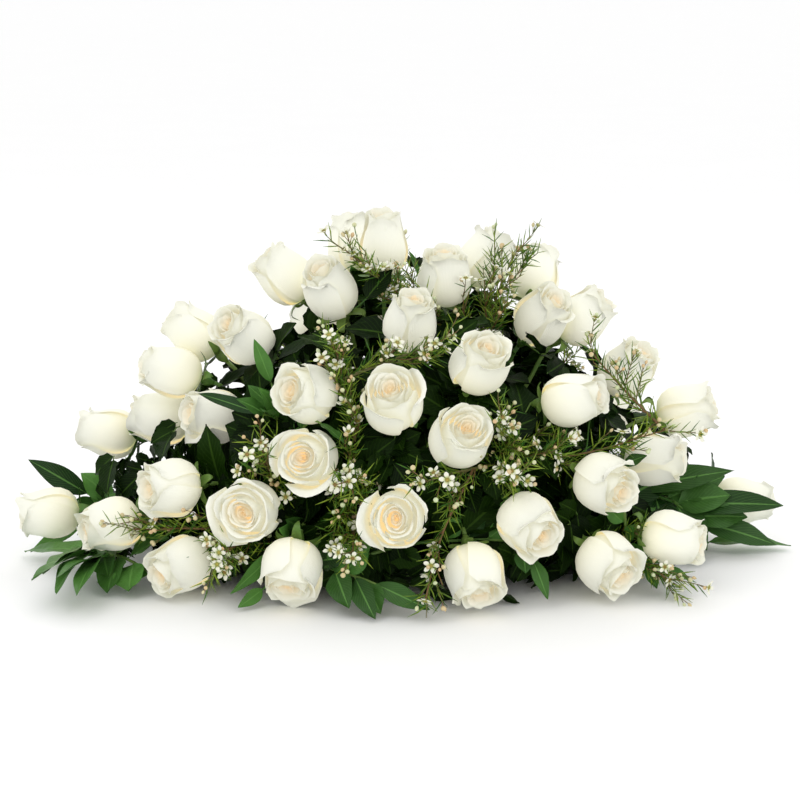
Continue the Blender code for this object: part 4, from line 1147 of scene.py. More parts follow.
class Pile:
    """Corners, faces, shading values and materials of one piece, gathered form by form.

    The shading values are across, along, a third that depends on the material, and chance.
    """

    def __init__(self):
        self.corners = []
        self.values = []
        self.rims = []
        self.faces = []
        self.count = 0

    def add(self, corners, faces, values, kind=0, rim=None):
        corners = corners.reshape(-1, 3)
        self.corners.append(corners)
        self.values.append(values.reshape(-1, 4))
        self.rims.append(np.zeros(len(corners), bool) if rim is None else rim)
        for part in faces:
            self.faces.append((np.asarray(part, int) + self.count, kind))
        self.count += len(corners)

    def stamp(self, form, matrix, chance):
        """Adds a copy of another pile."""
        turn = np.array(matrix.to_3x3())
        corners, values, rims = form.merged()
        values = values.copy()
        values[:, 3] = chance
        self.corners.append(corners @ turn.T + np.array(matrix.translation))
        self.values.append(values)
        self.rims.append(rims)
        for part, kind in form.faces:
            self.faces.append((part + self.count, kind))
        self.count += form.count

    def merged(self):
        if len(self.corners) > 1:
            self.corners = [np.concatenate(self.corners)]
            self.values = [np.concatenate(self.values)]
            self.rims = [np.concatenate(self.rims)]
        return self.corners[0], self.values[0], self.rims[0]

    def piece(self, name, materials, slot, nodes=()):
        """The finished object, which rides on the pillow and stands for these nodes."""
        corners, values, rims = self.merged()
        loops = np.concatenate([part.ravel() for part, kind in self.faces])
        sizes = np.concatenate([np.full(len(part), part.shape[1]) for part, kind in self.faces])
        kinds = np.concatenate([np.full(len(part), kind) for part, kind in self.faces])
        mesh = bpy.data.meshes.new(name)
        mesh.vertices.add(len(corners))
        mesh.vertices.foreach_set("co", corners.ravel())
        mesh.loops.add(len(loops))
        mesh.loops.foreach_set("vertex_index", loops)
        mesh.polygons.add(len(sizes))
        mesh.polygons.foreach_set("loop_start", np.cumsum(sizes) - sizes)
        mesh.polygons.foreach_set("material_index", kinds)
        mesh.polygons.foreach_set("use_smooth", np.ones(len(sizes), bool))
        for material in materials:
            mesh.materials.append(material)
        mesh.update(calc_edges=True)
        ends = np.empty(2 * len(mesh.edges), int)
        mesh.edges.foreach_get("vertices", ends)
        mesh.edges.foreach_set("use_edge_sharp", rims[ends].reshape(-1, 2).all(axis=1))
        shade = mesh.attributes.new("shade", "FLOAT_COLOR", "POINT")
        shade.data.foreach_set("color", values.ravel())
        obj = bpy.data.objects.new(name, mesh)
        bpy.context.scene.collection.objects.link(obj)
        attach(obj, "root")
        if nodes:
            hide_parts(*nodes)


def add_sheet(pile, grid, thick, values, back_values=None, kind=0):
    """Adds a closed thin sheet from a grid of places across and along. It has no thickness at its rim."""
    wide, long = grid.shape[:2]
    normal = np.cross(np.gradient(grid, axis=0), np.gradient(grid, axis=1))
    normal /= np.linalg.norm(normal, axis=2, keepdims=True) + 1e-12
    back = (grid - normal * np.asarray(thick)[..., None])[1:-1, 1:-1]
    front_index = np.arange(wide * long).reshape(wide, long)
    back_index = front_index.copy()
    back_index[1:-1, 1:-1] = wide * long + np.arange((wide - 2) * (long - 2)).reshape(wide - 2, long - 2)
    sides = []
    for index, turned in ((front_index, 1), (back_index, -1)):
        around = (index[:-1, :-1], index[1:, :-1], index[1:, 1:], index[:-1, 1:])
        sides.append(np.stack(around[::turned], axis=-1).reshape(-1, 4))
    rim = np.ones((wide, long), bool)
    rim[1:-1, 1:-1] = False
    rim = np.concatenate([rim.ravel(), np.zeros((wide - 2) * (long - 2), bool)])
    back_values = values if back_values is None else back_values
    shade = np.concatenate([values.reshape(-1, 4), back_values[1:-1, 1:-1].reshape(-1, 4)])
    pile.add(np.concatenate([grid.reshape(-1, 3), back.reshape(-1, 3)]), sides, shade, kind, rim)


def add_lathe(pile, middles, ways, side, radii, sides, kind=0, third=0, chance=0):
    """Adds a closed round form through rings of these radii, which are over 0. It ends in flat faces."""
    rings = tube_rings(middles, ways, radii, sides, side)
    corners = np.array([[list(corner) for corner in ring] for ring in rings])
    count = len(middles)
    index = np.arange(count * sides).reshape(count, sides)
    after = np.roll(index, -1, axis=1)
    quads = np.stack([index[:-1], after[:-1], after[1:], index[1:]], axis=-1).reshape(-1, 4)
    fans = []
    for ring, turned in ((index[0], -1), (index[-1], 1)):
        fans += [[ring[0], ring[n], ring[n + 1]][::turned] for n in range(1, sides - 1)]
    shade = stacked(shares(sides)[None, :], shares(count)[:, None], third, chance)
    pile.add(corners, [quads, fans], shade, kind)


def add_rod(pile, places, ways, radii, sides, chance, kind=0):
    """Adds a round stem through these places."""
    add_lathe(pile, places, ways, ways[-1].orthogonal(), radii, sides, kind, 0, chance)


def add_turned(pile, profile, sides, kind, third=0):
    """Adds a round form along +Z, from a profile of heights and radii in mm."""
    middles = [Vector((0, 0, height * MM)) for height, _ in profile]
    radii = [radius * MM for _, radius in profile]
    add_lathe(pile, middles, [UP] * len(profile), Vector((1, 0, 0)), radii, sides, kind, third)


def centre_of(ring):
    return sum(ring, Vector()) / len(ring)


def length_of(route):
    return sum((after - before).length for before, after in zip(route, route[1:]))


def joined(places, ways, steps):
    """A smooth route through places with the given ways there."""
    route, turns = [places[0]], [ways[0]]
    for n in range(1, len(places)):
        more, more_ways = curve(places[n - 1], ways[n - 1], places[n], ways[n], steps)
        route += more[1:]
        turns += more_ways[1:]
    return route, turns


def smoothed(places, last_way, steps):
    """A smooth route through three places, with the given way at the last."""
    first = (places[1] - places[0]).normalized()
    middle = ((places[2] - places[1]).normalized() + first).normalized()
    return joined(places, [first, middle, last_way], steps)


def varied(rng, amount):
    """A factor that differs from 1 by up to this amount."""
    return 1 + amount * rng.uniform(-1, 1)


def pick(table, layer, opened):
    """A petal's value, from one row for a closed bloom and one for an open bloom."""
    return mix(np.interp(layer, LAYERS, table[0]), np.interp(layer, LAYERS, table[1]), opened)


def petal_grid(rose, layer, turn, rng):
    """Places on the outside of one petal, upright on the origin, with the values across and along."""
    opened, radius = rose.openness, rose.radius
    loose = layer**1.5
    across, along = sheet_axes(PETAL_COLUMNS, PETAL_ROWS if layer > 0.35 else HEART_PETAL_ROWS)
    along = along**0.9
    side = np.abs(across)
    # The profile from the foot to the rim, which rolls out and down.
    flare = 1 + loose * rng.choice(PETAL_FLARES)
    belly = pick(PETAL_BELLIES, layer, opened) * radius
    mouth = pick(PETAL_RIMS, layer, opened) * radius * varied(rng, mix(0.20, 0.08, layer))
    roll = pick(PETAL_ROLLS, layer, opened) * radius * flare * (0.55 + 0.7 * side**1.5)
    drop = pick(PETAL_DROPS, layer, opened) * flare * (0.4 + side**1.5)
    top = pick(PETAL_TOPS, layer, opened) * rose.height * varied(rng, 0.045)
    wrap = math.radians(pick(PETAL_WRAPS, layer, opened) * varied(rng, 0.1))
    seat = mix(*PETAL_SEATS, layer)
    share = along * (1 - mix(0.12, 0.30, layer) * side**2.8)
    reaches = [seat, max(0.66 * belly, seat), 0.94 * belly, belly, mix(belly, mouth, 0.40)]
    reaches += [mix(belly, mouth, 0.86), mouth]
    rim = through([0, 0, 0, 0, 0, 0, 1], share)
    reach = through(reaches, share) + rim * roll
    height = (through(PETAL_HEIGHTS, share) - rim * drop) * top
    # One side lies over the next petal, and the rim waves, tilts and comes to a point in its middle.
    phase = rng.uniform(*ANY_TURN)
    reach = reach * (1 + mix(0.14, 0.03, layer) * across)
    reach = reach + along**3 * RIM_WAVE * loose * np.sin(across * 6 + phase)
    reach = reach + loose * RIM_WAVE * side**5 * share
    point = PETAL_POINT * loose * np.exp(-((across / 0.22) ** 2))
    height = height + along**4 * (point + RIM_RIPPLE * np.sin(across * 8 + phase))
    height = height + along**2 * across * rng.uniform(-1, 1) * mix(*PETAL_TILTS, layer)
    # The petal wraps round the bloom and leans a little to some side.
    angle = turn + wrap * across * (0.72 + 0.28 * along) + 0.02 * np.sin(along * 5 + phase)
    lean = mix(0.03, 0.05, layer) * radius * rng.uniform(0, 1) * along
    aside = rng.uniform(*ANY_TURN)
    squash = PETAL_SQUASH * (1 - layer) * opened
    x = reach * np.cos(angle) * (1 + squash) + lean * math.cos(aside)
    y = reach * np.sin(angle) * (1 - squash) + lean * math.sin(aside)
    return stacked(x, y, height), across, share


def make_way(grid, rose, others):
    """Pushes the places of a petal back from the planes between this bloom and its neighbours."""
    middle = rose.base + rose.axis * (rose.height / 2)
    for other in others:
        far = other.base + other.axis * (other.height / 2)
        gap = far - middle
        reach = max(rose.radius, rose.height / 2) + max(other.radius, other.height / 2)
        if other is rose or gap.length > reach * 1.25:
            continue
        way = np.array(gap.normalized())
        plane = gap.length * rose.radius / (rose.radius + other.radius)
        past = (grid - np.array(middle)) @ way - plane + PRESS_ROOM
        room = PRESS_ROOM - PRESS_GAP
        eased = np.where(past > 0, room * (1 - np.exp(-np.maximum(past, 0) / room)), past)
        grid = grid - (past - eased)[..., None] * way
    return grid


def add_bloom(pile, rose, roses):
    """The petals of one rose, from the tight heart to the rolled rims outside.

    The third shading value is how warm they look: the heart, which is peach of its own, and the inside near
    the foot, where the warmth is partly painted warm light that stands in for light passing through the
    petals into the creases.
    """
    rng = random.Random(f"bloom {rose.number}")
    frame = rose.frame()
    turn_matrix, shift = np.array(frame.to_3x3()), np.array(frame.translation)
    count = round(mix(*PETAL_COUNTS, rose.openness))
    for n in range(count):
        layer = n / (count - 1)
        turn = n * GOLDEN_ANGLE + 0.15 * rng.uniform(-1, 1)
        grid, across, along = petal_grid(rose, layer, turn, rng)
        grid = make_way(grid @ turn_matrix.T + shift, rose, roses)
        edge = (1 - np.abs(across) ** 4) * (1 - along**6)
        chance = rng.random()
        heart = max(0.0, 1 - layer * 1.5)
        outside = heart * (0.5 + 0.5 * (1 - along))
        # Partly painted light: the inside of every petal is made warm near the foot, in the creases where
        # light passes through the petals. The heart's peach is its own colour.
        inside = np.maximum(heart * 0.6, (1 - along) ** 0.6 * mix(1.0, 0.5, layer))
        front, back = (shaded(across, along, warmth, chance) for warmth in (outside, inside))
        add_sheet(pile, grid, PETAL_THICKNESS * (0.3 + 0.7 * edge), front, back)


def add_leaf(pile, foot, tip, normal, width, rng, blade, kind=0, arch=0.05):
    """A thin leaf with its upper side towards the normal, folded along its midrib, with a waved edge.

    The third shading value is 0 on the upper side and 1 on the underside.
    """
    along_way = (tip - foot).normalized()
    length = (tip - foot).length
    across_way = along_way.cross(normal).normalized()
    normal = across_way.cross(along_way)
    across, along = sheet_axes(blade["columns"], blade["rows"])
    side = np.abs(across)
    outline = np.sin(np.pi * along ** blade["power"]) ** blade["fullness"]
    half = outline * width / 2 + LEAF_EDGE
    tooth = np.where(np.arange(blade["rows"]) % 2, 1, -1)[None, :] * (side > 0.9)
    phase = rng.uniform(*ANY_TURN)
    fold = rng.uniform(*LEAF_FOLDS)
    lift = side * half * fold
    lift = lift + 0.06 * width * np.sin(along * rng.uniform(8, 14) + phase + across) * side**2
    lift = lift + arch * length * 4 * along * (1 - along)
    lift = lift - 0.02 * width * np.cos(across * 3.1) * np.sin(along * 3.1)
    parts = (along * length, across * half * (1 + blade["teeth"] * tooth), lift)
    grid = placed(foot, (along_way, across_way, normal), parts)
    chance = rng.random()
    front, back = (shaded(across, along, under, chance) for under in (0, 1))
    add_sheet(pile, grid, LEAF_RIB * (1 - side) + LEAF_EDGE, front, back, kind)


def add_fine_leaf(pile, ring, foot, tip, share, rng, blade):
    """The fine leaf in the place of a plain one, which has this share of its width at this ring."""
    left, top, right, bottom = ring
    width = (left - right).length / share
    add_leaf(pile, foot, tip, (top - bottom).normalized(), width, rng, blade, 1, 0.04)


def add_sepal(pile, foot, out, up, hang, chance):
    """A sepal that stands out at the top of the hip and hangs down, or stands up if hang is below 0."""
    across, along = sheet_axes(5, 8)
    levels = (0.45, mix(0.62, 0.66, hang), mix(0.75, 0.55, hang))
    reach = through([0.7 * HIP_RADIUS, *(level * SEPAL_LENGTH for level in levels)], along)
    height = through([0, 0.5 * MM, mix(3, -5, hang) * MM, mix(8, -14, hang) * MM], along)
    half = np.sin(np.pi * (0.12 + 0.88 * along) ** 0.6) ** 0.8 * SEPAL_HALF_WIDTH + 0.2 * MM
    parts = (reach, across * half, height + 0.25 * np.abs(across) * half)
    grid = placed(foot, (out, up.cross(out), up), parts)
    add_sheet(pile, grid[::-1], SEPAL_THICKNESS, shaded(across, along, 0.3, chance))


def add_stem(pile, rose, rng):
    """The stem of a rose, the hip under the bloom and the five sepals."""
    chance = rng.random()
    route, ways = joined(rose.places, rose.ways, 6)
    radii = [STEM_RADIUS * mix(1.05, 0.92, n / len(route)) for n in range(len(route))]
    add_rod(pile, route, ways, radii, 7, chance)
    neck, axis, side = rose.places[2], rose.axis, rose.axis.orthogonal()
    middles = [neck + axis * (HIP_LENGTH * level) for level, _ in HIP_PROFILE]
    radii = [HIP_RADIUS * wide for _, wide in HIP_PROFILE]
    add_lathe(pile, middles, [axis] * len(middles), side, radii, 10, 0, 0.4, chance)
    top = rose.base - axis * (1.5 * MM)
    for n in range(PETALS):
        out = Matrix.Rotation(2 * math.pi * n / PETALS, 3, axis) @ side
        add_sepal(pile, top, out, axis, rng.uniform(-0.3, 1.0), chance)


class Limits:
    """What the fine greens keep clear of: the blooms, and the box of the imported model."""

    def __init__(self, blooms, low, high):
        corners, faces = [], []
        for shape in blooms:
            faces += [tuple(n + len(corners) for n in face) for face in shape.faces]
            corners += shape.corners
        self.tree = BVHTree.FromPolygons(corners, faces)
        self.low, self.high = Vector(low), Vector(high)

    def distance(self, place, reach):
        """How far a place is outside the blooms, below 0 inside one. It is the reach if none is that near."""
        near, normal, _, distance = self.tree.find_nearest(place, reach)
        if near is None:
            return reach
        return distance if (place - near).dot(normal) > 0 else -distance

    def clear(self, places, margin):
        """Whether all these places are this far outside the blooms and inside the pillow's box."""
        for place in places:
            if any(place[n] < self.low[n] or place[n] > self.high[n] for n in range(3)):
                return False
            if self.distance(place, margin) < margin:
                return False
        return True

    def covered(self, place):
        """Whether a bloom lies under this place, or behind it as the front or the back is seen."""
        front = bearing(0 if place.y < 0 else 180, math.degrees(EYE_ELEVATION))
        return any(self.tree.ray_cast(place, -way, COVER_REACH)[0] for way in (outward(place), front))


def leaf_probes(foot, tip, normal, width):
    """Places all over a leaf."""
    along = (tip - foot).normalized()
    across = along.cross(normal).normalized() * (width * 0.5)
    places = [foot, foot.lerp(tip, 0.5), foot.lerp(tip, 0.75), tip]
    for share, wide in ((0.15, 0.7), (0.35, 1), (0.55, 1), (0.75, 0.7), (0.9, 0.4)):
        middle = foot.lerp(tip, share)
        places += [middle + across * wide, middle - across * wide]
    return places


def compound_leaf(foot, along, length, out, limits, rng):
    """The leaflets of a leaf that there is room for: each one's foot, tip, upper side and width.

    The first is the end leaflet, and two pairs stand behind it.
    """
    normal = (out + jitter(rng, 0.5)).normalized()
    leaflets = [(foot, along, length)]
    side = along.cross(normal).normalized()
    for level in LEAFLET_LEVELS:
        node = foot - along * (length * level * LEAFLET_REACH)
        for turn in (1, -1):
            way = (along * 0.55 + side * turn).normalized()
            leaflets.append((node + way * LEAFLET_STALK, way, length * rng.uniform(*LEAFLET_SHARES)))
    made = []
    for leaf_foot, way, leaf_length in leaflets:
        tip = leaf_foot + way * leaf_length
        face = (normal + jitter(rng, 0.3)).normalized()
        width = leaf_length * rng.uniform(*LEAFLET_WIDTHS)
        probes = leaf_probes(leaf_foot, tip, face, width)
        inside = max(mound_level(probe) for probe in probes) < FILL_LEVEL
        if inside and limits.clear(probes, LEAF_ROOM):
            made.append((leaf_foot, tip, face, width))
        elif not made:
            break
    return made


def stem_finder(roses):
    """A search tree of places along the rose stems."""
    places = [rose.below(step * 12 * MM) for rose in roses for step in range(9)]
    nearest = KDTree(len(places))
    for n, place in enumerate(places):
        nearest.insert(place, n)
    nearest.balance()
    return nearest


def fill_leaves(piles, rods, roses, limits, rng):
    """Compound leaves all over the mound, between and under the blooms, each on the nearest rose stem."""
    stems = stem_finder(roses)
    for n in range(FILL_TRIES):
        x, z = scattered(n, FILL_SPAN, FILL_ZONE)
        depth = mound_depth(x, z)
        if depth == 0:
            continue
        back = n % 5 < 2
        aim = Vector((x, depth * mix(*FILL_DEPTHS, rng.random()) * (1 if back else -1), z))
        out = outward(aim)
        around = out.cross(jitter(rng, 1)).normalized()
        along = (around + out * rng.uniform(0.1, 0.9) + UP * rng.uniform(-0.3, 0.2)).normalized()
        length = rng.uniform(*LEAFLET_LENGTHS)
        foot = aim - along * (length / 2)
        stem_place, _, distance = stems.find(foot)
        if not STALK_LENGTHS[0] < distance < STALK_LENGTHS[1]:
            continue
        made = compound_leaf(foot, along, length, out, limits, rng)
        if not made:
            continue
        for leaf_foot, tip, face, width in made:
            add_leaf(piles[1 if back else 0], leaf_foot, tip, face, width, rng, ROSE_BLADE)
        route, ways = curve(stem_place, (out + along).normalized(), foot, along, 5, 0.4)
        add_rod(rods, route, ways, STALK_RADII, 4, rng.random())
        for leaf_foot, *_ in made[1:]:
            node = foot - along * max((foot - leaf_foot).dot(along), 0)
            way = (leaf_foot - node).normalized()
            add_rod(rods, [node, leaf_foot], [way] * 2, LEAFLET_STALK_RADII, 4, 0.5)


def side_leaves(pile, route, ways, shape, limits, rng):
    """More long leaves, left and right of the one at the end of a twig, where there is room."""
    left, top, right, bottom = shape.rings[4]
    normal, width = (top - bottom).normalized(), (left - right).length
    length = (shape.apex - centre_of(shape.rings[2])).length
    gone, last, turned = 0.0, 0.0, rng.choice((1, -1))
    for n in reversed(range(1, len(route) - 1)):
        gone += (route[n + 1] - route[n]).length
        if gone - last < SIDE_LEAF_STEP or gone > SIDE_LEAF_REACH:
            continue
        for turn in (turned, -turned):
            angle = math.radians(rng.uniform(*SIDE_LEAF_ANGLES)) * turn
            way = Matrix.Rotation(angle, 3, normal) @ ways[n]
            way = (way + normal * rng.uniform(-0.1, 0.3)).normalized()
            reach = length * rng.uniform(*SIDE_LEAF_LENGTHS)
            foot = route[n] + way * SIDE_LEAF_STALK
            tip = foot + way * reach
            wide = width * rng.uniform(*SIDE_LEAF_WIDTHS)
            probes = leaf_probes(foot, tip, normal, wide)
            low = min(probe.z for probe in probes) < SIDE_LEAF_LOWEST
            if low or not limits.clear(probes, SIDE_LEAF_ROOM):
                continue
            add_leaf(pile, foot, tip, normal, wide, rng, LONG_BLADE, 1)
            add_rod(pile, [route[n], foot], [way] * 2, SIDE_LEAF_STALK_RADII, 5, rng.random())
            last, turned = gone, -turn
            break


def needle_form(bend):
    """A needle along +Z, curved towards +X, 1 long."""
    form = Pile()
    middles = [Vector((bend * (level**2), 0, level)) for level, _ in NEEDLE_PROFILE]
    ways = [Vector((2 * bend * level, 0, 1)).normalized() for level, _ in NEEDLE_PROFILE]
    radii = [radius for _, radius in NEEDLE_PROFILE]
    add_lathe(form, middles, ways, Vector((1, 0, 0)), radii, 3, NEEDLE_KIND)
    return form


def floret_form(opened):
    """A waxflower floret that faces +Z from its foot: cup, disc, stamens and five round petals."""
    form = Pile()
    add_turned(form, CUP_PROFILE, 8, CUP_KIND)
    add_turned(form, DISC_PROFILE, 8, DISC_KIND, 1)
    across, along = sheet_axes(5, 4)
    reach = (2.0 + mix(3.0, 5.6, opened) * along) * MM
    rise = mix(5.5, 0.6, opened) * along**1.2
    height = (2.8 + rise - 0.5 * across**2 * along * (1 - along) * 4) * MM
    half = (np.sin(np.pi * (0.10 + 0.80 * along)) ** 0.8 * 2.2) * MM
    parts = (reach, -across * half, height + 0.12 * np.abs(across) * half)
    for n in range(PETALS):
        turn = 2 * math.pi * n / PETALS
        ways = ((math.cos(turn), math.sin(turn), 0), (-math.sin(turn), math.cos(turn), 0), (0, 0, 1))
        grid = placed((0, 0, 0), ways, parts)[::-1]
        add_sheet(form, grid, FLORET_THICKNESS, shaded(across, along, 0, 0), None, FLORET_KIND)
    for n in range(PETALS):
        turn = 2 * math.pi * (n + 0.5) / PETALS
        foot = Vector((1.9 * math.cos(turn), 1.9 * math.sin(turn), 2.6)) * MM
        tip = foot + Vector((-0.4 * math.cos(turn), -0.4 * math.sin(turn), 1.0)) * MM
        add_rod(form, [foot, tip], [(tip - foot).normalized()] * 2, STAMEN_RADII, 3, 0, DISC_KIND)
    return form


def bud_form(profile):
    """A waxflower bud along +Z from its foot at the origin."""
    form = Pile()
    add_turned(form, profile, 7, BUD_KIND)
    return form


def facing(place, way, turn=0.0, size=1.0):
    """Matrix that puts a form drawn along +Z at a place, along the way, turned round it."""
    spin = UP.rotation_difference(way).to_matrix().to_4x4() @ Matrix.Rotation(turn, 4, "Z")
    return Matrix.Translation(place) @ spin @ Matrix.Scale(size, 4)


def tilted(way, angle, turn):
    """A way at this angle from the given one, on the side that the turn says."""
    side = Matrix.Rotation(turn, 3, way) @ way.orthogonal().normalized()
    return (way * math.cos(angle) + side * math.sin(angle)).normalized()


class Wax:
    """Dresses the twigs of a waxflower with needles, side twigs, florets and buds."""

    def __init__(self, limits, rng):
        self.limits = limits
        self.rng = rng
        self.pile = Pile()
        self.needles = [needle_form(bend) for bend in NEEDLE_BENDS]
        self.florets = [floret_form(opened) for opened in FLORETS_OPENED]
        self.buds = [bud_form(profile) for profile in BUD_PROFILES]

    def add_needles(self, route, ways, start=0.0):
        """Pairs of needles along a twig from this share of it on, each pair turned against the last."""
        turn = self.rng.uniform(*ANY_TURN)
        since = 0.0
        total = length_of(route)
        gone = 0.0
        for n in range(1, len(route)):
            step = (route[n] - route[n - 1]).length
            gone += step
            since += step
            while since > NEEDLE_SPACING:
                since -= NEEDLE_SPACING
                turn += NEEDLE_TURN + self.rng.uniform(-0.3, 0.3)
                if gone / total >= start:
                    self.add_pair(route[n] - ways[n] * since, ways[n], turn)

    def add_pair(self, place, way, turn):
        """Two needles on opposite sides of a twig, where there is room."""
        for half in (0, math.pi):
            length = self.rng.uniform(*NEEDLE_LENGTHS)
            needle_way = tilted(way, self.rng.uniform(*NEEDLE_ANGLES), turn + half)
            tip = place + needle_way * length
            if self.rng.random() < NEEDLES_SPARED and self.limits.covered(tip):
                continue
            if self.limits.clear([place.lerp(tip, 0.5), tip], NEEDLE_ROOM):
                form = self.rng.choice(self.needles)
                self.pile.stamp(form, facing(place, needle_way, turn, length), self.rng.random())

    def add_head(self, place, way, flower):
        """A floret or a bud on a stalk, where there is room."""
        head = place + way * self.rng.uniform(*HEAD_STALKS)
        if not self.limits.clear([head, head + way * (3 * MM)], FLORET_ROOM if flower else BUD_ROOM):
            return
        chance = self.rng.random()
        ends = [place, head + way * (0.3 * MM)]
        add_rod(self.pile, ends, [way] * 2, HEAD_STALK_RADII, 4, chance, TWIG_KIND)
        turn = self.rng.uniform(*ANY_TURN)
        if flower:
            wide_open = self.rng.random() < WIDE_OPEN_SHARE
            form = self.rng.choice(self.florets[:2] if wide_open else self.florets[2:])
        else:
            form = self.rng.choice(self.buds)
        size = self.rng.uniform(*(FLORET_SIZES if flower else BUD_SIZES))
        self.pile.stamp(form, facing(head, way, turn, size), chance)

    def add_twig(self, start, way, length, lean, heads):
        """A side twig with needles and one of these numbers of heads. Returns whether there was room."""
        end_way = (way + lean * 0.5).normalized()
        end = start + (way * 0.6 + end_way * 0.4) * length
        route, ways = curve(start, way, end, end_way, 4)
        if not self.limits.clear(route[1:], TWIG_ROOM):
            return False
        if self.limits.covered(end) and self.rng.random() < TWIGS_SPARED:
            return False
        add_rod(self.pile, route, ways, SIDE_TWIG_RADII, 4, self.rng.random(), TWIG_KIND)
        self.add_needles(route, ways)
        for k in range(self.rng.choice(heads)):
            angle = self.rng.uniform(0.15, 0.8) if k else 0.1
            head_way = tilted(end_way, angle, k * TWIG_TURN + self.rng.uniform(0, 1))
            head_way = (head_way + lean * 0.4).normalized()
            self.add_head(end - end_way * (k * 2.2 * MM), head_way, self.rng.random() < FLORET_SHARE)
        return True

    def add_branch(self, start, way, length, lean):
        """A long, loose side twig with needles all along it and short twigs, few of which bear heads."""
        end_way = (way + lean * 0.6).normalized()
        end = start + (way * 0.5 + end_way * 0.5) * length
        route, ways = curve(start, way, end, end_way, 8)
        if mound_level(end) > BRANCH_LEVEL or not self.limits.clear(route[1:], TWIG_ROOM):
            return
        if sum(self.limits.covered(place) for place in route[1:]) > COVERED_PLACES:
            return
        radii = [mix(0.8, 0.4, n / 8) * MM for n in range(9)]
        add_rod(self.pile, route, ways, radii, 5, self.rng.random(), TWIG_KIND)
        self.add_needles(route, ways)
        turn = self.rng.uniform(*ANY_TURN)
        for n in range(2, 9):
            turn += TWIG_TURN
            side = (tilted(ways[n], self.rng.uniform(0.4, 0.8), turn) + lean * 0.3).normalized()
            self.add_twig(route[n], side, self.rng.uniform(*SHORT_TWIGS), lean, BRANCH_TWIG_HEADS)

    def dress(self, route, ways, lean):
        """Branches, side twigs and needles on the last part of a grown twig."""
        total = length_of(route)
        self.add_needles(route, ways, max(0.0, 1 - NEEDLED_LENGTH / total))
        gone = 0.0
        turn = self.rng.uniform(*ANY_TURN)
        last = 0.0
        for n in range(1, len(route)):
            gone += (route[n] - route[n - 1]).length
            if gone - last < TWIG_STEP:
                continue
            last = gone
            turn += TWIG_TURN
            way = (tilted(ways[n], self.rng.uniform(0.5, 0.9), turn) + lean * 0.4).normalized()
            if (n % 2 or mound_level(route[n]) < 0.8) and not in_foam(route[n]):
                self.add_branch(route[n], way, self.rng.uniform(*BRANCH_LENGTHS), lean)
            if total - gone > TWIGGED_LENGTH:
                continue
            for _ in range(3):
                turn += TWIG_TURN
                way = tilted(ways[n], self.rng.uniform(0.5, 0.95), turn)
                way = (way + lean * 0.35).normalized()
                if self.add_twig(route[n], way, self.rng.uniform(*LONG_TWIGS), lean, TWIG_HEADS):
                    break

    def dress_shape(self, shape):
        """The fine form of a plain flower, bud or twig."""
        rings = shape.rings
        if len(rings) == 1:
            self.add_head(shape.foot, (shape.apex - shape.foot).normalized(), len(rings[0]) > 3)
            return
        places = [centre_of(ring) for ring in (rings[0], rings[1], rings[-2])]
        way = (centre_of(rings[-1]) - places[2]).normalized()
        route, ways = smoothed(places, way, 7)
        radius, last = (rings[0][0] - places[0]).length, len(route) - 1
        radii = [mix(radius, TWIG_TIP_RADIUS * 0.8, n / last) for n in range(len(route))]
        add_rod(self.pile, route, ways, radii, 7, self.rng.random(), TWIG_KIND)
        self.dress(route, ways, outward(places[2]))
        self.pile.stamp(self.florets[0], facing(places[2], way), self.rng.random())


class Finish:
    """A material whose colour, roughness and bump come from nodes."""

    def __init__(self, name, **sockets):
        self.material = bpy.data.materials.new(name)
        self.material.use_nodes = True
        self.tree = self.material.node_tree
        self.shader = self.tree.nodes["Principled BSDF"]
        for label, value in sockets.items():
            self.shader.inputs[label.replace("_", " ")].default_value = value
        self.place = self.node("ShaderNodeTexCoord").outputs["Object"]

    def node(self, kind, inputs=(), **settings):
        made = self.tree.nodes.new(kind)
        for key, value in settings.items():
            setattr(made, key, value)
        for key, value in dict(inputs).items():
            if isinstance(value, bpy.types.NodeSocket):
                self.tree.links.new(value, made.inputs[key])
            else:
                made.inputs[key].default_value = value
        return made

    def link(self, value, label):
        self.tree.links.new(value, self.shader.inputs[label])

    def shade(self):
        """The shading values of the mesh: across, along and the third, and chance."""
        attribute = self.node("ShaderNodeAttribute", attribute_name="shade")
        parts = self.node("ShaderNodeSeparateColor", {"Color": attribute.outputs["Color"]})
        return [parts.outputs[n] for n in range(3)] + [attribute.outputs["Alpha"]]

    def noise(self, scale, detail=2.0):
        """Cloudy values from 0 to 1, with features of about 1 / scale metres."""
        inputs = {"Vector": self.place, "Scale": scale, "Detail": detail}
        return self.node("ShaderNodeTexNoise", inputs).outputs[0]

    def math(self, operation, first, second=0.0):
        return self.node("ShaderNodeMath", {0: first, 1: second}, operation=operation).outputs[0]

    def times(self, first, second):
        return self.math("MULTIPLY", first, second)

    def plus(self, first, second):
        return self.math("ADD", first, second)

    def minus(self, first, second):
        return self.math("SUBTRACT", first, second)

    def spread(self, value, low, high, to_low=0.0, to_high=1.0):
        """A value's share of the way from low to high, as a value between two others."""
        inputs = {"Value": value, 1: low, 2: high, 3: to_low, 4: to_high}
        return self.node("ShaderNodeMapRange", inputs, interpolation_type="SMOOTHSTEP").outputs[0]

    def patches(self, scale, low, high, detail=2.0):
        """Values from low to high in soft patches."""
        return self.spread(self.noise(scale, detail), 0.3, 0.7, low, high)

    def mixed(self, share, first, second):
        """A colour this share of the way from the first to the second."""
        inputs = {0: share}
        for key, colour in ((6, first), (7, second)):
            inputs[key] = colour if isinstance(colour, bpy.types.NodeSocket) else (*colour, 1)
        return self.node("ShaderNodeMix", inputs, data_type="RGBA").outputs[2]

    def finish(self, colour, roughness, bump, strength, distance):
        self.link(colour, "Base Color")
        self.link(roughness, "Roughness")
        inputs = {"Height": bump, "Strength": strength, "Distance": distance}
        self.link(self.node("ShaderNodeBump", inputs).outputs[0], "Normal")
        return self.material


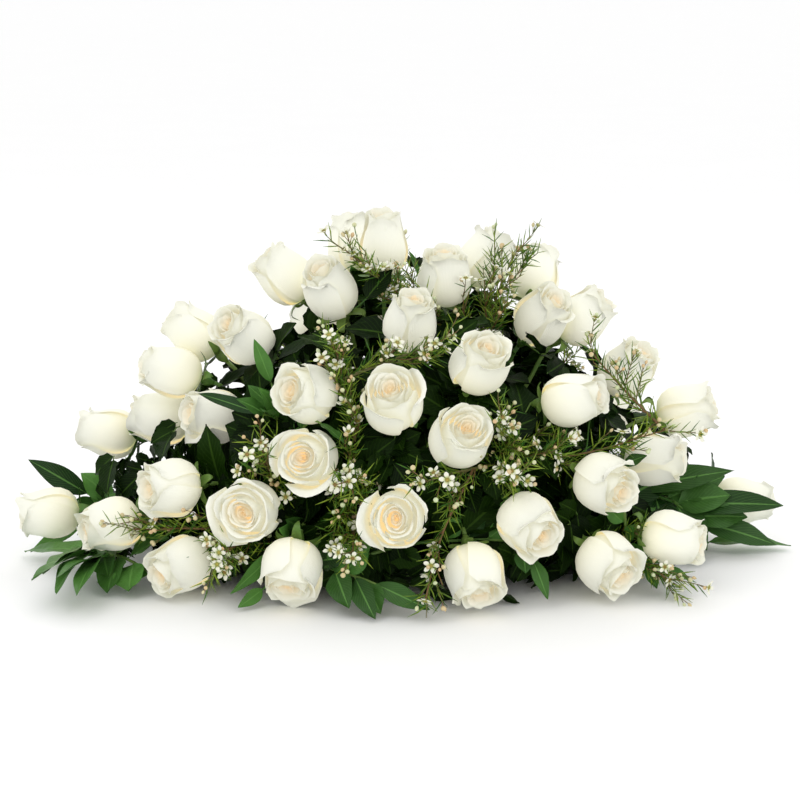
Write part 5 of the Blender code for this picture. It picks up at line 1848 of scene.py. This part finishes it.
def petal_finish():
    """Ivory petals, creamier low down partly with painted shade, greenish at the foot, warm in the heart and
    with painted warm light inside near the foot, with fine ribs and a very faint emission: painted light that
    stands in for light passing through the petals and lightens their shade.
    """
    finish = Finish("petals", IOR=1.42, Specular_IOR_Level=0.22, Sheen_Weight=0.05, Sheen_Roughness=0.4)
    across, along, warmth, chance = finish.shade()
    cloud = finish.noise(55)
    # Cream towards the foot and ivory towards the rim: partly the petals' own colour, and partly painted
    # shade low down where the petals overlap.
    body = finish.mixed(finish.spread(along, 0.05, 0.85), CREAM, IVORY)
    body = finish.mixed(finish.spread(chance, 0, 1, 0, 0.35), body, PALE)
    body = finish.mixed(finish.times(cloud, 0.22), body, CREAM)
    body = finish.mixed(finish.spread(along, 0.30, 0.02, 0, 0.75), body, GREENISH)
    # Peach: the heart's own colour, and partly painted warm light in the creases inside near the foot.
    warm = finish.spread(finish.plus(warmth, finish.times(cloud, 0.25)), 0.20, 1.0, 0, 0.85)
    body = finish.mixed(warm, body, PEACH)
    # Painted light: a faint emission in the petal colour, stronger towards the foot and where the petals are
    # warm, stands in for light passing through the petals and lightens their shade.
    painted_glow = finish.plus(finish.spread(along, 1.0, 0.3, 0.08, 0.22), finish.times(warmth, 0.13))
    finish.link(body, "Emission Color")
    finish.link(painted_glow, "Emission Strength")
    wander = finish.plus(across, finish.times(cloud, 0.03))
    ribs = finish.math("SINE", finish.times(wander, 230.0))
    bump = finish.plus(finish.times(ribs, 0.25), finish.noise(700, 3.0))
    return finish.finish(body, finish.patches(240, 0.46, 0.60), bump, 0.22, 0.6 * MM)


def leaf_finish(name, greens, roughness, veins, **sockets):
    """A leaf with painted light and shade, between a deep shaded green and a lit green, with a midrib and
    this many pairs of veins.
    """
    deep, lit, rib, under = greens
    finish = Finish(name, **sockets)
    across, along, side, chance = finish.shade()
    # Painted light and shade: each leaf takes a chance tone between the shaded and the lit green, and soft
    # patches darken it towards the shaded green.
    body = finish.mixed(finish.spread(chance, 0.0, 1.0), deep, lit)
    body = finish.mixed(finish.times(finish.noise(90), 0.45), body, deep)
    middle = finish.math("ABSOLUTE", finish.minus(across, 0.5))
    slanted = finish.minus(finish.times(along, veins), finish.times(middle, veins * 0.75))
    waves = finish.math("SINE", finish.times(slanted, 6.283))
    lines = finish.times(finish.spread(waves, 0.90, 1.0), 0.45)
    lines = finish.math("MAXIMUM", lines, finish.spread(middle, 0.055, 0.015))
    body = finish.mixed(finish.times(lines, 0.65), body, rib)
    body = finish.mixed(finish.spread(side, 0.6, 1.0, 0, 0.6), body, under)
    bump = finish.minus(finish.times(finish.noise(500, 3.0), 0.35), lines)
    shine = finish.patches(150, roughness - 0.06, roughness + 0.10)
    return finish.finish(body, shine, bump, 0.35, 0.8 * MM)


def skin_finish(name, first, second, roughness, scale, **sockets):
    """A plain plant skin in two colours, mottled."""
    finish = Finish(name, **sockets)
    chance = finish.shade()[3]
    share = finish.spread(finish.plus(finish.noise(scale), finish.times(chance, 0.8)), 0.45, 1.35)
    body = finish.mixed(share, first, second)
    shine = finish.patches(scale * 3, roughness - 0.08, roughness + 0.08)
    return finish.finish(body, shine, finish.noise(scale * 5, 3.0), 0.3, 0.4 * MM)


def floret_finish():
    """Pale floret petals, green at the foot, with a blush in places."""
    finish = Finish("floret_petals", Specular_IOR_Level=0.3)
    along = finish.shade()[1]
    body = finish.mixed(finish.spread(along, 0.45, 0.0), (0.82, 0.82, 0.69), (0.52, 0.58, 0.20))
    body = finish.mixed(finish.times(finish.noise(600), 0.2), body, (0.80, 0.74, 0.70))
    return finish.finish(body, finish.patches(900, 0.42, 0.55), finish.noise(1500), 0.2, 0.3 * MM)


def foam_finish():
    """Soaked foam: dark green, with fine open cells whose middles are darkened with painted shade."""
    finish = Finish("soaked_foam", Specular_IOR_Level=0.4)
    cells = finish.node("ShaderNodeTexVoronoi", {"Vector": finish.place, "Scale": 900.0}).outputs["Distance"]
    body = finish.mixed(finish.noise(45, 4.0), (0.010, 0.045, 0.018), (0.035, 0.105, 0.040))
    # Painted shade: the middles of the cells are darkened, where shade falls in the open pores.
    body = finish.mixed(finish.spread(cells, 0.5, 0.0, 0, 0.6), body, (0.004, 0.016, 0.008))
    return finish.finish(body, finish.patches(120, 0.45, 0.85), cells, 0.6, 1.2 * MM)


def tray_finish():
    """Black moulded plastic with a fine grain, scuffs and water spots."""
    finish = Finish("moulded_plastic", Coat_Weight=0.1, Coat_Roughness=0.2)
    body = finish.mixed(finish.noise(60, 4.0), (0.012, 0.012, 0.012), (0.030, 0.031, 0.030))
    scuffs = finish.spread(finish.noise(240, 5.0), 0.55, 0.75)
    body = finish.mixed(finish.times(scuffs, 0.3), body, (0.08, 0.08, 0.08))
    return finish.finish(body, finish.patches(90, 0.28, 0.52, 3.0), finish.noise(1800), 0.15, 0.4 * MM)


def paper_finish():
    """The pale paper of the floor."""
    finish = Finish("floor_paper")
    body = finish.mixed(finish.noise(3), (0.985, 0.985, 0.985), (1.0, 1.0, 1.0))
    roughness = finish.spread(finish.noise(40), 0, 1, 0.8, 0.9)
    return finish.finish(body, roughness, finish.noise(900), 0.02, 0.5 * MM)


def add_light(name, place, size, watts, colour):
    data = bpy.data.lights.new(name, "AREA")
    data.size = size
    data.energy = watts
    data.color = colour
    obj = bpy.data.objects.new(name, data)
    obj.location = place
    obj.rotation_mode = "QUATERNION"
    obj.rotation_quaternion = (Vector(LIGHT_AIM) - Vector(place)).to_track_quat("-Z", "Y")
    bpy.context.scene.collection.objects.link(obj)


def build_studio():
    """The floor, the light and the camera."""
    scene = bpy.context.scene
    scene.view_settings.view_transform = "Standard"
    world = bpy.data.worlds.new("studio")
    world.use_nodes = True
    world.node_tree.nodes["Background"].inputs["Color"].default_value = (1, 1, 1, 1)
    world.node_tree.nodes["Background"].inputs["Strength"].default_value = 1.0
    scene.world = world
    mesh = bpy.data.meshes.new("floor")
    mesh.from_pydata(FLOOR_CORNERS, [], [(0, 1, 2, 3)])
    mesh.materials.append(paper_finish())
    floor = bpy.data.objects.new("floor", mesh)
    scene.collection.objects.link(floor)
    for row in LIGHTS:
        add_light(*row)
    camera = bpy.data.objects.new("camera", bpy.data.cameras.new("camera"))
    camera.data.lens = CAMERA_LENS
    camera.data.sensor_width = CAMERA_SENSOR
    back = bearing(0, math.degrees(EYE_ELEVATION))
    camera.location = Vector(CAMERA_AIM) + back * EYE_DISTANCE
    camera.rotation_mode = "QUATERNION"
    camera.rotation_quaternion = (-back).to_track_quat("-Z", "Y")
    scene.collection.objects.link(camera)
    scene.camera = camera


def lay_out():
    """The layout: roses and their groups, leafy stems, the leaves that link rose stems, and the waxflower."""
    rng = random.Random(SEED)
    room = Room()
    take_base(room)
    roses = all_roses()
    blooms = []
    for rose in roses:
        blooms.append(rose.bloom().moved(rose.frame()))
        room.take(rose.owner, blooms[-1])
    groups = lay_stems(room, roses)
    foliage = grow_foliage(room, rng)
    links = {}
    for group, members in sorted(groups.items()):
        links[group] = link_stems(room, group, members, rng)[len(members):]
    waxflower = grow_waxflower(room, rng)
    free = free_leaves(room, roses)
    return roses, blooms, groups, links, free, foliage, waxflower


def dress_blooms(nodes, roses):
    """Petals in the place of every bloom node, which holds one rose or two."""
    petals = petal_finish()
    for name in sorted(nodes):
        if name.startswith("rose_bloom"):
            numbers = name.split("_")[2:]
            pile = Pile()
            for number in numbers:
                add_bloom(pile, roses[int(number) - 1], roses)
            pile.piece("_".join(["petals", *numbers]), [petals], "rose_petal", [name])


def dress_stems(groups, links, free, stem, leaf, rng):
    """The stems of the roses with their hips, sepals and leaves, one piece for each group."""
    for group, members in sorted(groups.items()):
        pile = Pile()
        for rose in members:
            add_stem(pile, rose, rng)
        for shapes, share in ((links[group], LINK_LEAF_SHARE), (free.get(group, []), FREE_LEAF_SHARE)):
            for shape in shapes:
                add_fine_leaf(pile, shape.rings[1], shape.foot, shape.apex, share, rng, ROSE_BLADE)
        pile.piece("stems" + group[len("rose_stems"):], [stem, leaf], "rose_green", [group])


def dress_gaps(roses, stem, leaf, limits, rng):
    """Compound leaves between the blooms, front and back, and their stalks."""
    piles, rods = [Pile(), Pile()], Pile()
    fill_leaves(piles, rods, roses, limits, rng)
    for name, pile in zip(("front", "back"), piles):
        pile.piece("rose_leaves_" + name, [leaf], "rose_green")
    rods.piece("leaf_stalks", [stem], "rose_green")


def dress_foliage(plants, stem, limits, rng):
    """The leafy stems, with more long leaves than the plain ones have."""
    glossy = leaf_finish("long_leaves", LONG_GREENS, 0.38, 12.0, Specular_IOR_Level=0.22)
    for plant in plants:
        pile = Pile()
        for shape in plant.shapes:
            rings, tip = shape.rings, shape.apex
            foot = centre_of(rings[2])
            add_fine_leaf(pile, rings[3], foot, tip, 1.0, rng, LONG_BLADE)
            places = [centre_of(ring) for ring in rings[:3]]
            route, ways = smoothed(places, (tip - foot).normalized(), 5)
            radius = (rings[0][0] - places[0]).length
            radii = [mix(radius, 0.9 * MM, n / len(route)) for n in range(len(route))]
            add_rod(pile, route, ways, radii, 7, rng.random())
            side_leaves(pile, route, ways, shape, limits, rng)
        pile.piece("long_leaves" + plant.owner[len("foliage"):], [stem, glossy], "leaf_green", [plant.owner])


def dress_waxflower(plants, limits):
    """The fine form of every waxflower. Its materials are in the order of the kinds."""
    materials = [
        skin_finish("twigs", (0.14, 0.14, 0.04), (0.18, 0.09, 0.03), 0.55, 300),
        skin_finish("needles", (0.035, 0.13, 0.008), (0.24, 0.34, 0.03), 0.45, 200, Specular_IOR_Level=0.25),
        floret_finish(),
        skin_finish("cups", (0.28, 0.34, 0.10), (0.42, 0.40, 0.16), 0.45, 500),
        skin_finish("discs", (0.46, 0.42, 0.07), (0.26, 0.16, 0.03), 0.5, 1500),
        skin_finish("buds", (0.62, 0.70, 0.42), (0.66, 0.46, 0.24), 0.35, 120),
    ]
    for plant in plants:
        wax = Wax(limits, random.Random(plant.owner))
        for shape in plant.shapes:
            wax.dress_shape(shape)
        name = plant.owner.replace("waxflower", "wax_sprays")
        wax.pile.piece(name, materials, "waxflower", [plant.owner])


def plain_values():
    return [list(corner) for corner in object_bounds()]


def main():
    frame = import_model()
    nodes = frame["nodes"]
    packed = plain_values()
    build_studio()
    roses, blooms, groups, links, free, foliage, waxflower = lay_out()
    limits = Limits(blooms, *packed)
    dress_blooms(nodes, roses)
    leaf = leaf_finish("rose_leaves", ROSE_GREENS, 0.46, 9.0, Specular_IOR_Level=0.07)
    stem = skin_finish("rose_stems", (0.05, 0.15, 0.02), (0.15, 0.24, 0.05), 0.45, 70, Specular_IOR_Level=0.3)
    rng = random.Random(SEED + 1)
    dress_stems(groups, links, free, stem, leaf, rng)
    dress_gaps(roses, stem, leaf, limits, rng)
    dress_foliage(foliage, stem, limits, rng)
    dress_waxflower(waxflower, limits)
    for name, material in (("foam", foam_finish()), ("tray", tray_finish())):
        nodes[name].data.materials.clear()
        nodes[name].data.materials.append(material)


main()
